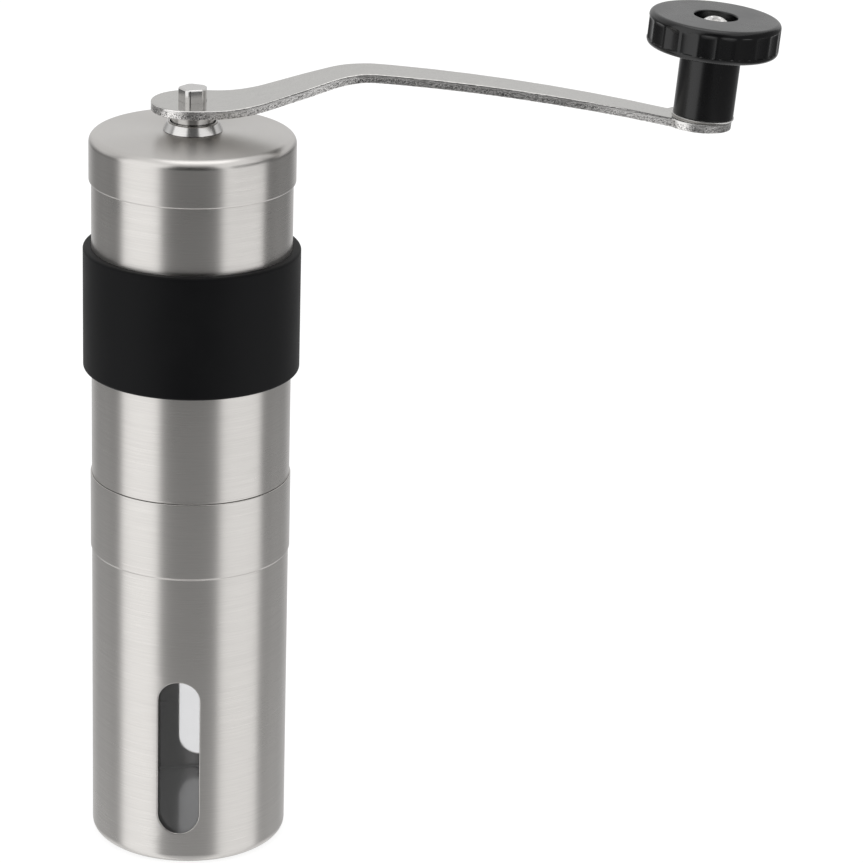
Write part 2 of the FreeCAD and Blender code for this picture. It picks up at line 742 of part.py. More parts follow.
def make_cap_insert():
    """Plastic insert: a flange that rests on the tube's rim and a spigot that centres the lid."""
    outer = cap_inner - d.seat_gap
    spigot = tube_inner - d.slip_gap
    top = tube_end + d.cap_insert_flange
    body = revolved("cap_insert", [
        (cap_insert_hole, tube_end),
        (spigot - d.cap_insert_wall, tube_end),
        (spigot - d.cap_insert_wall, tube_end - d.cap_insert_depth),
        (spigot, tube_end - d.cap_insert_depth),
        (spigot, tube_end),
        (outer, tube_end),
        (outer, top),
        (cap_insert_hole, top)])
    rounded(body, d.cap_round - d.tube_wall, rims_at((outer, top)), "Chamfer")
    return body


# ---------------------------------------------------------------- shaft

def make_drive_shaft():
    """Steel shaft: a threaded end, a square for the cone burr, a clip groove and a five-sided end."""
    body = revolved("drive_shaft", [
        (0, shaft_start),
        (thread_radius, shaft_start),
        (thread_radius, square_start),
        (d.shaft_radius, square_start),
        (d.shaft_radius, clip_start),
        (groove_radius, clip_start),
        (groove_radius, clip_start + d.clip_thickness),
        (d.shaft_radius, clip_start + d.clip_thickness),
        (d.shaft_radius, shaft_top - d.shaft_chamfer),
        (d.shaft_radius - d.shaft_chamfer_width, shaft_top),
        (0, shaft_top)])
    square = new_sketch(body, "XY_Plane", square_start)
    circle(square, 0, 0, d.shaft_radius * 2)
    polygon(square, 4, square_corner, 45)
    pocket(body, square, d.square_length)
    crown = new_sketch(body, "XY_Plane", arm_underside)
    circle(crown, 0, 0, d.shaft_radius * 2)
    polygon(crown, 5, d.shaft_radius - d.shaft_end_step, d.shaft_end_turn)
    pocket(body, crown, shaft_top - arm_underside)
    return body


def make_ring(name, bore, outer, low, high):
    return revolved(name, [(bore, low), (outer, low), (outer, high), (bore, high)])


def make_shaft_collar():
    """Polished collar pressed on the shaft, which the crank arm sits on."""
    low = arm_underside - d.collar_height
    return make_ring("shaft_collar", d.shaft_radius, collar_radius, low, arm_underside)


def make_retaining_clip():
    """Spring steel clip in the shaft's groove, open on one side."""
    high = clip_start + d.clip_thickness
    body = make_ring("retaining_clip", groove_radius, d.washer_radius, clip_start, high)
    primitive(body, "SubtractiveBox",
              {"Length": d.washer_radius * 2, "Width": d.clip_mouth, "Height": d.clip_thickness * 3},
              y=-(d.clip_mouth / 2), z=clip_start - d.clip_thickness)
    return body


def make_burr_spring():
    """Coil spring between the lower bush's washer and the burr carrier."""
    body = new_body("burr_spring")
    sketch = new_sketch(body, "XZ_Plane")
    low = carrier_sleeve_top + d.seat_gap / 2 + d.spring_wire / 2
    circle(sketch, spring_radius, low, d.spring_wire / 2)
    coil = body.newObject("PartDesign::AdditiveHelix", "burr_spring_coil")
    coil.Profile = sketch
    coil.ReferenceAxis = (sketch, ["V_Axis"])
    coil.Mode = "height-turns-angle"
    bind(coil, "Height", spring_top - d.spring_wire / 2 - low)
    bind(coil, "Turns", d.spring_turns)
    doc.recompute()
    return body


# ---------------------------------------------------------------- cone burr and adjuster

def make_cone_burr():
    """Turning ceramic burr, which widens downwards and slides along the shaft's square."""
    bore = carrier_sleeve + d.seat_gap / 2
    body = revolved("cone_burr", [
        (bore, cone_bottom),
        (cone_radius, cone_bottom),
        (cone_radius, land_top),
        (cone_top_radius, cone_top),
        (bore, cone_top)])
    lean = math.atan2((cone_radius - cone_top_radius).value, (cone_top - land_top).value)
    middle = (cone_top + land_top) / 2
    cut_teeth(body, (cone_radius + cone_top_radius) / 2, middle, -math.degrees(lean))
    return body


def make_burr_carrier():
    """Plastic carrier that holds the cone burr and rides on the square of the shaft."""
    body = revolved("burr_carrier", [
        (0, carrier_bottom), (carrier_radius, carrier_bottom), (carrier_radius, cone_bottom),
        (carrier_sleeve, cone_bottom), (carrier_sleeve, carrier_sleeve_top), (0, carrier_sleeve_top)])
    sketch = new_sketch(body, "XY_Plane", carrier_bottom)
    polygon(sketch, 4, carrier_bore, 45)
    pocket(body, sketch, carrier_sleeve_top - carrier_bottom)
    return body


def make_adjuster_dial():
    """Plastic thumb wheel under the carrier, with a hexagonal pocket for its nut."""
    low = dial_top - d.dial_height
    body = revolved("adjuster_dial", [
        (0, low), (d.dial_radius, low), (d.dial_radius, dial_top), (0, dial_top)])
    bore = new_sketch(body, "XY_Plane", low)
    circle(bore, 0, 0, dial_bore)
    pocket(body, bore, d.dial_height)
    seat = new_sketch(body, "XY_Plane", dial_top - d.nut_height)
    polygon(seat, 6, d.nut_flats / 2 / cosine(30) + d.seat_gap / 2)
    pocket(body, seat, d.nut_height)
    groove = primitive(body, "SubtractiveCylinder", {"Radius": d.dial_groove, "Height": d.dial_height * 2},
                       x=d.dial_radius + d.dial_groove_out, z=low - d.dial_height / 2)
    repeat_round(body, groove, d.dial_lobes)
    return body


def make_dial_nut():
    """Brass nut in the adjuster that runs on the shaft's thread."""
    body = new_body("dial_nut")
    sketch = new_sketch(body, "XY_Plane", dial_top - d.nut_height)
    polygon(sketch, 6, d.nut_flats / 2 / cosine(30))
    circle(sketch, 0, 0, thread_radius + d.slip_gap / 2)
    pad(body, sketch, d.nut_height)
    return body


# ---------------------------------------------------------------- crank

boss_slope = tangent(d.knob_tilt)
arm_end_x = d.arm_reach - d.arm_end_back
boss_level = arm_top - d.arm_end_drop - boss_slope * d.arm_end_back


def make_arm_side():
    """The bent plate seen from the side, as wide as its hub all along, with its two holes."""
    body = new_body("arm_side")
    near_x = -(d.arm_hub_radius * 2)
    far_x = d.arm_reach + d.arm_boss_radius * 2
    far_z = boss_level - boss_slope * d.arm_boss_radius * 2
    foot = (d.arm_foot_x, arm_top)
    crest = (d.arm_crest_x, arm_top + d.arm_crest_rise)
    end = (arm_end_x, arm_top - d.arm_end_drop)

    def below(corner):
        return corner[0], corner[1] - d.arm_thickness

    side = new_sketch(body, "XZ_Plane")
    outline(side, [
        below((near_x, arm_top)), below(foot), (*below(crest), -d.arm_bow), below(end),
        below((far_x, far_z)), (far_x, far_z), (*end, d.arm_bow), crest, foot, (near_x, arm_top)])
    pad(body, side, d.arm_hub_radius * 3, both_ways=True)
    bends = (
        (foot, d.arm_foot_bend, 1),
        (crest, d.arm_crest_bend, -1),
        (end, d.arm_end_bend, 1))
    for corner, radius, side_sign in bends:
        rounded(body, radius, bends_at(corner))
        rounded(body, radius + d.arm_thickness * side_sign, bends_at(below(corner)))
    hole = new_sketch(body, "XY_Plane")
    polygon(hole, 5, d.shaft_radius + d.slip_gap, d.shaft_end_turn)
    pocket(body, hole)
    primitive(body, "SubtractiveCylinder", {"Radius": d.screw_radius, "Height": d.arm_thickness * 4},
              x=d.arm_reach - sine(d.knob_tilt) * d.arm_thickness * 2,
              z=boss_level - cosine(d.knob_tilt) * d.arm_thickness * 2,
              turn=d.knob_tilt, axis=(0, 1, 0))
    return body


def make_arm_blank():
    """The arm's outline seen from above: a round hub, a tapered bar and a round boss."""
    body = new_body("arm_bar")
    sketch = new_sketch(body, "XY_Plane")
    upper = [
        (0, d.arm_root_half),
        (d.arm_shoulder_x, d.arm_shoulder_half),
        (d.arm_waist_x, d.arm_waist_half),
        (d.arm_reach, d.arm_tip_half)]
    lower = [(x, -as_size(half)) for x, half in upper]
    outline(sketch, lower + upper[::-1])
    pad(body, sketch, arm_top * 2)
    shoulders = [upper[1], lower[1]]
    waists = [upper[2], lower[2]]
    rounded(body, d.arm_plan_round, posts_at(*shoulders, *waists))
    hub = cylinder("arm_hub", d.arm_hub_radius, arm_top * 2)
    boss = cylinder("arm_boss", d.arm_boss_radius, arm_top * 2, x=d.arm_reach - d.arm_boss_back)
    return joined("Part::Fuse", "arm_blank", joined("Part::Fuse", "arm_bar_hub", body, hub), boss)


def make_crank_arm():
    """Bent steel plate: wide and flat at the shaft, narrow along its length, round under the knob."""
    return joined("Part::Common", "crank_arm", make_arm_side(), make_arm_blank())


def on_boss(thing):
    """Stand a knob part on the arm's boss, square to it."""
    return place(thing, x=d.arm_reach, z=boss_level, turn=d.knob_tilt, axis=(0, 1, 0))


def make_knob_washer():
    washer = make_ring("knob_washer", d.screw_radius, d.knob_washer_radius, 0, d.knob_washer_thickness)
    return on_boss(washer)


def make_knob_screw():
    """Shouldered screw through the knob, its domed head in the knob's recess."""
    head = d.knob_washer_thickness + d.knob_height - d.recess_depth + d.slip_gap
    dome = head + d.screw_head_edge
    chord = d.screw_head_radius * d.screw_head_radius + d.screw_head_dome * d.screw_head_dome
    ball = chord / (2 * d.screw_head_dome)
    crown = ball - root(ball * ball - chord / 4)
    body = revolved("knob_screw", [
        (0, -d.arm_thickness),
        (d.screw_radius, -d.arm_thickness),
        (d.screw_radius, head),
        (d.screw_head_radius, head),
        (d.screw_head_radius, dome, crown),
        (0, dome + d.screw_head_dome)])
    return on_boss(body)


def make_crank_knob():
    """Moulded knob: a round stem and a thick disc with hollows round its rim and a recess on top."""
    foot = d.knob_washer_thickness
    top = foot + d.knob_height
    disc = top - d.knob_disc_height
    floor = top - d.recess_depth
    bore = d.screw_radius + d.slip_gap / 2
    body = revolved("crank_knob", [
        (bore, foot),
        (d.knob_stem_radius, foot),
        (d.knob_stem_radius, disc),
        (d.knob_disc_radius, disc),
        (d.knob_disc_radius, top),
        (d.recess_radius, top),
        (d.recess_radius, floor),
        (bore, floor)])
    flute = primitive(body, "SubtractiveCylinder",
                      {"Radius": d.flute_radius, "Height": d.knob_disc_height - d.flute_margin * 2},
                      x=d.knob_disc_radius + d.flute_radius - d.flute_depth, z=disc + d.flute_margin)
    repeat_round(body, flute, d.knob_flutes)
    rounded(body, d.knob_round, rims_at((d.knob_disc_radius, disc), (d.knob_disc_radius, top)))
    return on_boss(body)


# ---------------------------------------------------------------- the whole grinder

def write_parts(nodes):
    """Check every object and every sub-part, then write each sub-part to its file."""
    doc.recompute()
    for thing in doc.Objects:
        if "Invalid" in thing.State or "Error" in thing.State:
            raise ValueError(f"{thing.Label}: {thing.State}")
    for node in nodes:
        if node.Shape.isNull() or not node.Shape.isValid() or not node.Shape.Solids:
            raise ValueError(f"{node.Label}: no valid solid")
    os.makedirs("parts", exist_ok=True)
    for node in nodes:
        node.Shape.exportStep(f"parts/{node.Label}.step")
        print(f"{node.Label}: {len(node.Shape.Solids)} solid, {node.Shape.Volume:.1f} mm3")


write_parts([
    make_catch_cup(),
    make_cup_liner(),
    make_hopper_tube(),
    make_grip_band(),
    make_burr_housing(),
    make_ring_burr(),
    make_burr_retainer(),
    make_bush("lower_bush", lower_hub, flange_below=True),
    make_shaft_bridge(),
    make_bush("upper_bush", upper_hub, flange_below=False),
    make_cap_shell(),
    make_cap_neck(),
    make_cap_insert(),
    make_drive_shaft(),
    make_shaft_collar(),
    make_ring("thrust_washer", d.shaft_radius + d.slip_gap, d.washer_radius, upper_bush_top, clip_start),
    make_retaining_clip(),
    make_ring("spring_washer", d.shaft_radius + d.slip_gap, d.washer_radius, spring_top, spring_washer_top),
    make_burr_spring(),
    make_cone_burr(),
    make_burr_carrier(),
    make_adjuster_dial(),
    make_dial_nut(),
    make_crank_arm(),
    make_knob_washer(),
    make_knob_screw(),
    make_crank_knob(),
])
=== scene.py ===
"""Looks of the hand crank coffee grinder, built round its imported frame.

The frame gives every body, joint and node at its real size. Each class below stands for one
sub-assembly: it draws finer meshes in place of the frame's plain ones, or gives a node its finish.
Meshes are drawn in millimetres and made in metres.
"""

import json
import logging
import math
from dataclasses import dataclass
from enum import Enum
from itertools import pairwise
from typing import Any, Callable, Iterable, Mapping, Sequence

import bmesh
import bpy
from mathutils import Matrix, Vector, noise


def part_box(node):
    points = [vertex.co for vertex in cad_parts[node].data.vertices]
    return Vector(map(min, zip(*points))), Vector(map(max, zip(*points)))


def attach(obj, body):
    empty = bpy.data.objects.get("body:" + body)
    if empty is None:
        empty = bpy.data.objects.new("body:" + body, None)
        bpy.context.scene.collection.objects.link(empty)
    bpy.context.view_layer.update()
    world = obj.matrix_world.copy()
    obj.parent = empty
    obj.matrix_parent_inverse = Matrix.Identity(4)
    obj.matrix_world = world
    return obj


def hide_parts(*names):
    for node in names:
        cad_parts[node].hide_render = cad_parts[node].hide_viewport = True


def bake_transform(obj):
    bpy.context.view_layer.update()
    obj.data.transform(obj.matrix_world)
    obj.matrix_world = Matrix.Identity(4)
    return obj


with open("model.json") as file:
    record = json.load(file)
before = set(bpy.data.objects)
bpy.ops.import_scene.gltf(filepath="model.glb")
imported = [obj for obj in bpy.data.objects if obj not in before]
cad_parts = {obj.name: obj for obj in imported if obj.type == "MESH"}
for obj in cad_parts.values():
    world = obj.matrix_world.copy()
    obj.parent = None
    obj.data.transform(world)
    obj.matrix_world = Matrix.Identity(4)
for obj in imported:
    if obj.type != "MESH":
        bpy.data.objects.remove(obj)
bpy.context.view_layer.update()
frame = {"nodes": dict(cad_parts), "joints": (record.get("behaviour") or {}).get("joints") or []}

log = logging.getLogger("grinder")

MM = 0.001              # a millimetre of the drawings in metres
TINY = 1e-6             # millimetres that count as nothing
GUARD = 0.15            # how far a guard point stands from a rounding
STRAIGHT_HALF = 89.9    # half the angle of a corner that counts as straight, in degrees
EDGE_SHARE = 0.98       # how much of an edge a rounding may take up
ROUND_STEPS = 6         # edges of a rounding
TUBE_SEGMENTS = 192     # edges round the tubes and the lid
SMALL_SEGMENTS = 96     # edges round the small rings
SHARP_DEGREES = 38.0    # from this angle on an edge stays sharp

Point = tuple[float, float]
Span = tuple[float, float]
Spot = tuple[float, float, float]
Colour = tuple[float, float, float]
Shape = Callable[[float, float, float], Point]
Socket = bpy.types.NodeSocket


# ---------------------------------------------------------------- outlines

@dataclass(frozen=True)
class Corner:
    """A corner of an outline and the radius it is rounded with."""

    across: float
    up: float
    round: float = 0.0


def arc_between(corner: Corner, before: Point, after: Point, steps: int) -> list[Point]:
    """Round one corner of an outline.

    Args:
        corner: The corner and its radius.
        before: The outline's point before the corner.
        after: The outline's point after the corner.
        steps: How many edges the arc has.

    Returns:
        The arc's points, with a guard point on each side where the edge is long enough.
    """
    spot = Vector((corner.across, corner.up))
    back, ahead = Vector(before) - spot, Vector(after) - spot
    back_length, ahead_length = back.length, ahead.length
    if corner.round <= 0 or min(back_length, ahead_length) < TINY:
        return [(corner.across, corner.up)]
    back.normalize()
    ahead.normalize()
    half = back.angle(ahead) / 2
    if half > math.radians(STRAIGHT_HALF):
        return [(corner.across, corner.up)]
    reach = min(corner.round / math.tan(half), EDGE_SHARE * back_length, EDGE_SHARE * ahead_length)
    radius = reach * math.tan(half)
    centre = spot + (back + ahead).normalized() * (radius / math.sin(half))
    start = spot + back * reach - centre
    turn = math.pi - 2 * half
    sign = 1 if back.cross(start) > 0 else -1
    points = []
    if back_length > reach + 3 * GUARD:
        points.append(tuple(spot + back * (reach + GUARD)))
    for step in range(steps + 1):
        angle = sign * turn * step / steps
        cosine, sine = math.cos(angle), math.sin(angle)
        points.append((centre.x + start.x * cosine - start.y * sine,
                       centre.y + start.x * sine + start.y * cosine))
    if ahead_length > reach + 3 * GUARD:
        points.append(tuple(spot + ahead * (reach + GUARD)))
    return points


def softened(corners: Sequence[Corner], closed: bool, steps: int = ROUND_STEPS) -> list[Point]:
    """Turn the corners of an outline into points, with their roundings as arcs.

    Args:
        corners: The outline's corners in order.
        closed: Whether the last corner joins the first.
        steps: How many edges each rounding has.

    Returns:
        The outline's points.
    """
    points: list[Point] = []
    last = len(corners) - 1
    for index, corner in enumerate(corners):
        if not closed and index in (0, last):
            points.append((corner.across, corner.up))
            continue
        before, after = corners[index - 1], corners[(index + 1) % len(corners)]
        points += arc_between(corner, (before.across, before.up), (after.across, after.up), steps)
    return points


def evenly(low: float, high: float, count: int) -> list[float]:
    """The ends and inner marks of a stretch cut into count equal parts."""
    return [low + (high - low) * mark / count for mark in range(count + 1)]


def subdivided(points: Sequence[Point], step: float) -> list[Point]:
    """Add points to a line so that no edge is much longer than step.

    Args:
        points: The line.
        step: The longest edge wanted.

    Returns:
        The finer line.
    """
    finer = [points[0]]
    for start, end in pairwise(points):
        count = max(1, math.ceil(math.dist(start, end) / step))
        finer += [tuple(Vector(start).lerp(Vector(end), part / count)) for part in range(1, count + 1)]
    return finer


def all_round(segments: int, first: float = 0.0) -> list[float]:
    """Evenly spaced angles round an axis, in radians."""
    return [first + 2 * math.pi * index / segments for index in range(segments)]


def on_ring(reach: float, turn: float, height: float) -> Spot:
    """A point at a distance from the axis, an angle round it and a height."""
    return reach * math.cos(turn), reach * math.sin(turn), height


def rolled(radius: float, steps: int) -> list[Point]:
    """How far in from the side and down from the face a rounded edge runs, from the face to the side."""
    turns = [math.radians(90 * part / steps) for part in range(steps + 1)]
    return [(radius * (1 - math.sin(turn)), radius * (1 - math.cos(turn))) for turn in turns]


def smooth_step(value: float, low: float, high: float) -> float:
    """Rise smoothly from 0 at low to 1 at high, or fall where high is the smaller."""
    share = min(1.0, max(0.0, (value - low) / (high - low)))
    return share * share * (3 - 2 * share)


# ---------------------------------------------------------------- meshes

class Draft:
    """Vertices and faces of a piece in millimetres, before it becomes an object."""

    def __init__(self) -> None:
        self.spots: list[Spot] = []
        self.faces: list[tuple[int, ...]] = []
        self.zones: list[int] = []
        self.marks: dict[int, float] = {}

    def add(self, spots: Iterable[Sequence[float]]) -> list[int]:
        """Add vertices.

        Args:
            spots: Their places in millimetres.

        Returns:
            The numbers of the new vertices.
        """
        first = len(self.spots)
        self.spots += [tuple(spot) for spot in spots]
        return list(range(first, len(self.spots)))

    def face(self, corners: Sequence[int], zone: int = 0) -> None:
        """Add a face, leaving out corners that repeat.

        Args:
            corners: The face's vertices in order.
            zone: Which of the piece's finishes it gets.
        """
        kept = [corner for index, corner in enumerate(corners) if corner != corners[index - 1]]
        if len(kept) > 2:
            self.faces.append(tuple(kept))
            self.zones.append(zone)

    def strip(self, first: Sequence[int], second: Sequence[int], zone: int = 0,
              closed: bool = True, skip: Iterable[int] = ()) -> None:
        """Join two rows of vertices with faces.

        Args:
            first: One row, or a single vertex at a pole.
            second: The other row.
            zone: Which of the piece's finishes the faces get.
            closed: Whether the rows run all the way round.
            skip: Numbers of the faces left out.
        """
        count = max(len(first), len(second))
        one = list(first) * count if len(first) == 1 else list(first)
        two = list(second) * count if len(second) == 1 else list(second)
        gaps = set(skip)
        for index in range(count if closed else count - 1):
            if index not in gaps:
                following = (index + 1) % count
                self.face((one[index], one[following], two[following], two[index]), zone)

    def turn(self, profile: Sequence[Point], angles: Sequence[float], shape: Shape | None = None,
             skip: Mapping[int, set[int]] | None = None,
             zones: Mapping[int, int] | None = None) -> list[list[int]]:
        """Turn a profile about Z. It closes on itself unless it starts and ends on the axis.

        Args:
            profile: Points as distance from the axis and height.
            angles: The angles of its vertices.
            shape: Moves a point of the profile at an angle, where the piece isn't quite round.
            skip: Face numbers left out, by the number of the profile's edge.
            zones: Which of the piece's finishes an edge's faces get, where it isn't the first.

        Returns:
            The rows of vertices, one for each point of the profile.
        """
        rows = []
        for across, up in profile:
            if across < TINY:
                rows.append(self.add([(0.0, 0.0, up)]))
                continue
            row = []
            for angle in angles:
                reach, height = shape(angle, across, up) if shape else (across, up)
                row.append(on_ring(reach, angle, height))
            rows.append(self.add(row))
        closed = profile[0][0] > TINY
        for index, (low, high) in enumerate(pairwise(rows + rows[:1] if closed else rows)):
            self.strip(low, high, zone=(zones or {}).get(index, 0), skip=(skip or {}).get(index, ()))
        return rows

    def make(self, name: str, finishes: Sequence["Finish"],
             place: Matrix | None = None) -> bpy.types.Object:
        """Make the object.

        Args:
            name: The piece's name.
            finishes: Its finishes, in the order of the faces' zones.
            place: Where the drawing stands in the frame, in metres.

        Returns:
            The object, smooth but for its sharp edges.
        """
        mesh = bpy.data.meshes.new(name)
        mesh.from_pydata([Vector(spot) * MM for spot in self.spots], [], self.faces)
        mesh.polygons.foreach_set("material_index", self.zones)
        if self.marks:
            marks = mesh.attributes.new("depth", "FLOAT", "POINT")
            marks.data.foreach_set("value", [self.marks.get(n, 0.0) for n in range(len(self.spots))])
        if place is not None:
            mesh.transform(place)
        for finish in finishes:
            mesh.materials.append(finish.material())
        tidy_normals(mesh)
        piece = bpy.data.objects.new(name, mesh)
        bpy.context.scene.collection.objects.link(piece)
        return piece


def tidy_normals(mesh: bpy.types.Mesh) -> None:
    """Turn every face outwards, shade it smooth and keep its sharp edges.

    Args:
        mesh: The mesh, changed in place.
    """
    work = bmesh.new()
    work.from_mesh(mesh)
    bmesh.ops.remove_doubles(work, verts=work.verts, dist=TINY * MM)
    bmesh.ops.recalc_face_normals(work, faces=work.faces)
    for face in work.faces:
        face.smooth = True
    work.to_mesh(mesh)
    work.free()
    mesh.set_sharp_from_angle(angle=math.radians(SHARP_DEGREES))


def cut_through(piece: bpy.types.Object, cutter: bpy.types.Object) -> None:
    """Cut one solid out of another for good and remove the cutter.

    Args:
        piece: The solid that is cut.
        cutter: The solid taken away.
    """
    hole = piece.modifiers.new("hole", "BOOLEAN")
    hole.operation = "DIFFERENCE"
    hole.solver = "EXACT"
    hole.object = cutter
    bpy.context.view_layer.update()
    settled = piece.evaluated_get(bpy.context.evaluated_depsgraph_get())
    old, piece.data = piece.data, bpy.data.meshes.new_from_object(settled)
    piece.modifiers.clear()
    bpy.data.meshes.remove(old)
    bpy.data.objects.remove(cutter)
    tidy_normals(piece.data)


def node_box(node: str) -> tuple[Vector, Vector]:
    """Lowest and highest corner of a frame node, in millimetres."""
    low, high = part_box(node)
    return low / MM, high / MM


def joint_place(name: str) -> Matrix:
    """Where a joint of the frame stands, its axis as Z, in metres.

    Args:
        name: The joint's name.

    Returns:
        A turn and a shift from the origin to the joint.
    """
    joint = next(joint for joint in frame["joints"] if joint["name"] == name)
    return Matrix.Translation(joint["pos_m"]) @ Vector((0, 0, 1)).rotation_difference(
        Vector(joint["axis"])).to_matrix().to_4x4()


# ---------------------------------------------------------------- shader nodes

class Graph:
    """A node tree under construction."""

    def __init__(self, tree: bpy.types.NodeTree) -> None:
        self.tree = tree

    def node(self, kind: str, inputs: Mapping[str | int, Any] | None = None,
             **settings: Any) -> bpy.types.Node:
        """Add a node.

        Args:
            kind: The node's type name.
            inputs: Numbers, colours or sockets for its inputs.
            settings: The node's own properties.

        Returns:
            The node.
        """
        made = self.tree.nodes.new(kind)
        for name, value in settings.items():
            setattr(made, name, value)
        self.feed(made, inputs or {})
        return made

    def feed(self, node: bpy.types.Node, inputs: Mapping[str | int, Any]) -> None:
        """Link a node's inputs to sockets, or set their own values where plain ones are given.

        Args:
            node: The node.
            inputs: What each input gets, by name or number.
        """
        for key, value in inputs.items():
            if isinstance(value, bpy.types.NodeSocket):
                self.tree.links.new(value, node.inputs[key])
            else:
                node.inputs[key].default_value = value

    def math(self, operation: str, *values: Any) -> Socket:
        """One step of arithmetic."""
        return self.node("ShaderNodeMath", dict(enumerate(values)), operation=operation).outputs[0]

    def stretch(self, vector: Socket, factors: Sequence[float] | Socket) -> Socket:
        """Multiply a vector by another."""
        return self.node("ShaderNodeVectorMath", {0: vector, 1: factors}, operation="MULTIPLY").outputs[0]

    def noise(self, vector: Socket, scale: float | Socket, detail: float = 2.0,
              roughness: float = 0.5) -> Socket:
        """Soft noise round one half."""
        settings = {"Vector": vector, "Scale": scale, "Detail": detail, "Roughness": roughness}
        return self.node("ShaderNodeTexNoise", settings).outputs["Fac"]

    def remap(self, value: Any, low: Any, high: Any, start: Any = 0.0, end: Any = 1.0,
              smooth: bool = False) -> Socket:
        """Stretch the range low to high over start to end.

        Args:
            value: The number that is stretched.
            low: The start of its range.
            high: The end of its range.
            start: The result at low.
            end: The result at high.
            smooth: Whether the change eases in and out.

        Returns:
            The number in its new range.
        """
        kind = "SMOOTHSTEP" if smooth else "LINEAR"
        inputs = {"Value": value, "From Min": low, "From Max": high, "To Min": start, "To Max": end}
        return self.node("ShaderNodeMapRange", inputs, interpolation_type=kind).outputs[0]

    def mix(self, share: Any, first: Any, second: Any) -> Socket:
        """Mix two numbers."""
        return self.node("ShaderNodeMix", {0: share, 2: first, 3: second}).outputs[0]

    def blend(self, share: Any, first: Any, second: Any) -> Socket:
        """Mix two colours."""
        inputs = {0: share, 6: opaque(first), 7: opaque(second)}
        return self.node("ShaderNodeMix", inputs, data_type="RGBA").outputs[2]

    def bump(self, height: Socket, strength: float, distance: float) -> Socket:
        """A normal that follows a height, its distance in millimetres."""
        inputs = {"Height": height, "Strength": strength, "Distance": distance * MM}
        return self.node("ShaderNodeBump", inputs).outputs["Normal"]

    def place(self) -> Socket:
        """Where the surface is on its piece, in millimetres."""
        spot = self.node("ShaderNodeTexCoord").outputs["Object"]
        return self.stretch(spot, (1 / MM, 1 / MM, 1 / MM))


def opaque(colour: Any) -> Any:
    """Add the alpha that colour sockets want to a plain colour."""
    return (*colour, 1.0) if isinstance(colour, tuple) and len(colour) == 3 else colour


def shaded(colour: Colour, factor: float) -> Colour:
    """A darker or lighter colour."""
    return tuple(min(1.0, part * factor) for part in colour)


class Effect:
    """A shader node group that is built once and placed in each material that uses it."""

    name = ""
    inputs: tuple[tuple[str, str, Any], ...] = ()
    outputs: tuple[tuple[str, str], ...] = ()

    def tree(self) -> bpy.types.NodeTree:
        """The group, built on first use.

        Returns:
            The group's tree.
        """
        found = bpy.data.node_groups.get(self.name)
        if found is not None:
            return found
        tree = bpy.data.node_groups.new(self.name, "ShaderNodeTree")
        for name, kind, value in self.inputs:
            socket = tree.interface.new_socket(name, in_out="INPUT", socket_type=kind)
            if value is not None:
                socket.default_value = value
        for name, kind in self.outputs:
            tree.interface.new_socket(name, in_out="OUTPUT", socket_type=kind)
        graph = Graph(tree)
        entry = graph.node("NodeGroupInput")
        made = self.wire(graph, {name: entry.outputs[name] for name, _, _ in self.inputs})
        graph.node("NodeGroupOutput", made)
        return tree

    def wire(self, graph: Graph, given: Mapping[str, Socket]) -> dict[str, Socket]:
        """Wire the group's inside.

        Args:
            graph: The group's tree.
            given: The group's inputs by name.

        Returns:
            What each output shows.
        """
        raise NotImplementedError

    def put(self, graph: Graph, **values: Any) -> bpy.types.bpy_prop_collection:
        """Place the group in a material with its own values and return its outputs."""
        inputs = {name.replace("_", " "): value for name, value in values.items()}
        return graph.node("ShaderNodeGroup", inputs, node_tree=self.tree()).outputs


class BrushedGrain(Effect):
    """Fine lines left by a belt or a brush, longest along the direction with the smallest rate."""

    name = "brushed_grain"
    inputs = (("Place", "NodeSocketVector", None), ("Rate", "NodeSocketVector", (0.05, 0.05, 8.0)))
    outputs = (("Line", "NodeSocketFloat"), ("Height", "NodeSocketFloat"))

    def wire(self, graph: Graph, given: Mapping[str, Socket]) -> dict[str, Socket]:
        """Two sizes of line, the finer one weaker.

        Args:
            graph: The group's tree.
            given: The group's inputs by name.

        Returns:
            The lines as a mask and as a height.
        """
        spot = graph.stretch(given["Place"], given["Rate"])
        broad = graph.noise(spot, 0.45, detail=3.0, roughness=0.7)
        fine = graph.noise(spot, 2.6, detail=2.0, roughness=0.6)
        line = graph.math("MULTIPLY_ADD", graph.math("SUBTRACT", fine, broad), 0.5, broad)
        return {"Line": graph.remap(line, 0.28, 0.72), "Height": line}


class Cloudiness(Effect):
    """Broad soft change over a surface, as handling and polishing leave it."""

    name = "cloudiness"
    inputs = (("Place", "NodeSocketVector", None), ("Size", "NodeSocketFloat", 0.05))
    outputs = (("Cloud", "NodeSocketFloat"),)

    def wire(self, graph: Graph, given: Mapping[str, Socket]) -> dict[str, Socket]:
        """One soft noise, its contrast raised."""
        cloud = graph.noise(given["Place"], given["Size"], detail=3.0, roughness=0.55)
        return {"Cloud": graph.remap(cloud, 0.3, 0.7)}


class FineSpeck(Effect):
    """Small sparse specks, as dust on rubber or pits in a moulding."""

    name = "fine_speck"
    inputs = (("Place", "NodeSocketVector", None), ("Rate", "NodeSocketFloat", 1.2),
              ("Share", "NodeSocketFloat", 0.1))
    outputs = (("Speck", "NodeSocketFloat"),)

    def wire(self, graph: Graph, given: Mapping[str, Socket]) -> dict[str, Socket]:
        """Round cells, of which only those in the chosen share show.

        Args:
            graph: The group's tree.
            given: The group's inputs by name.

        Returns:
            The specks as a mask.
        """
        inputs = {"Vector": given["Place"], "Scale": given["Rate"]}
        cells = graph.node("ShaderNodeTexVoronoi", inputs).outputs
        chance = graph.node("ShaderNodeSeparateColor", {0: cells["Color"]}).outputs[0]
        shown = graph.math("LESS_THAN", chance, given["Share"])
        dot = graph.remap(cells["Distance"], 0.22, 0.06, smooth=True)
        return {"Speck": graph.math("MULTIPLY", dot, shown)}


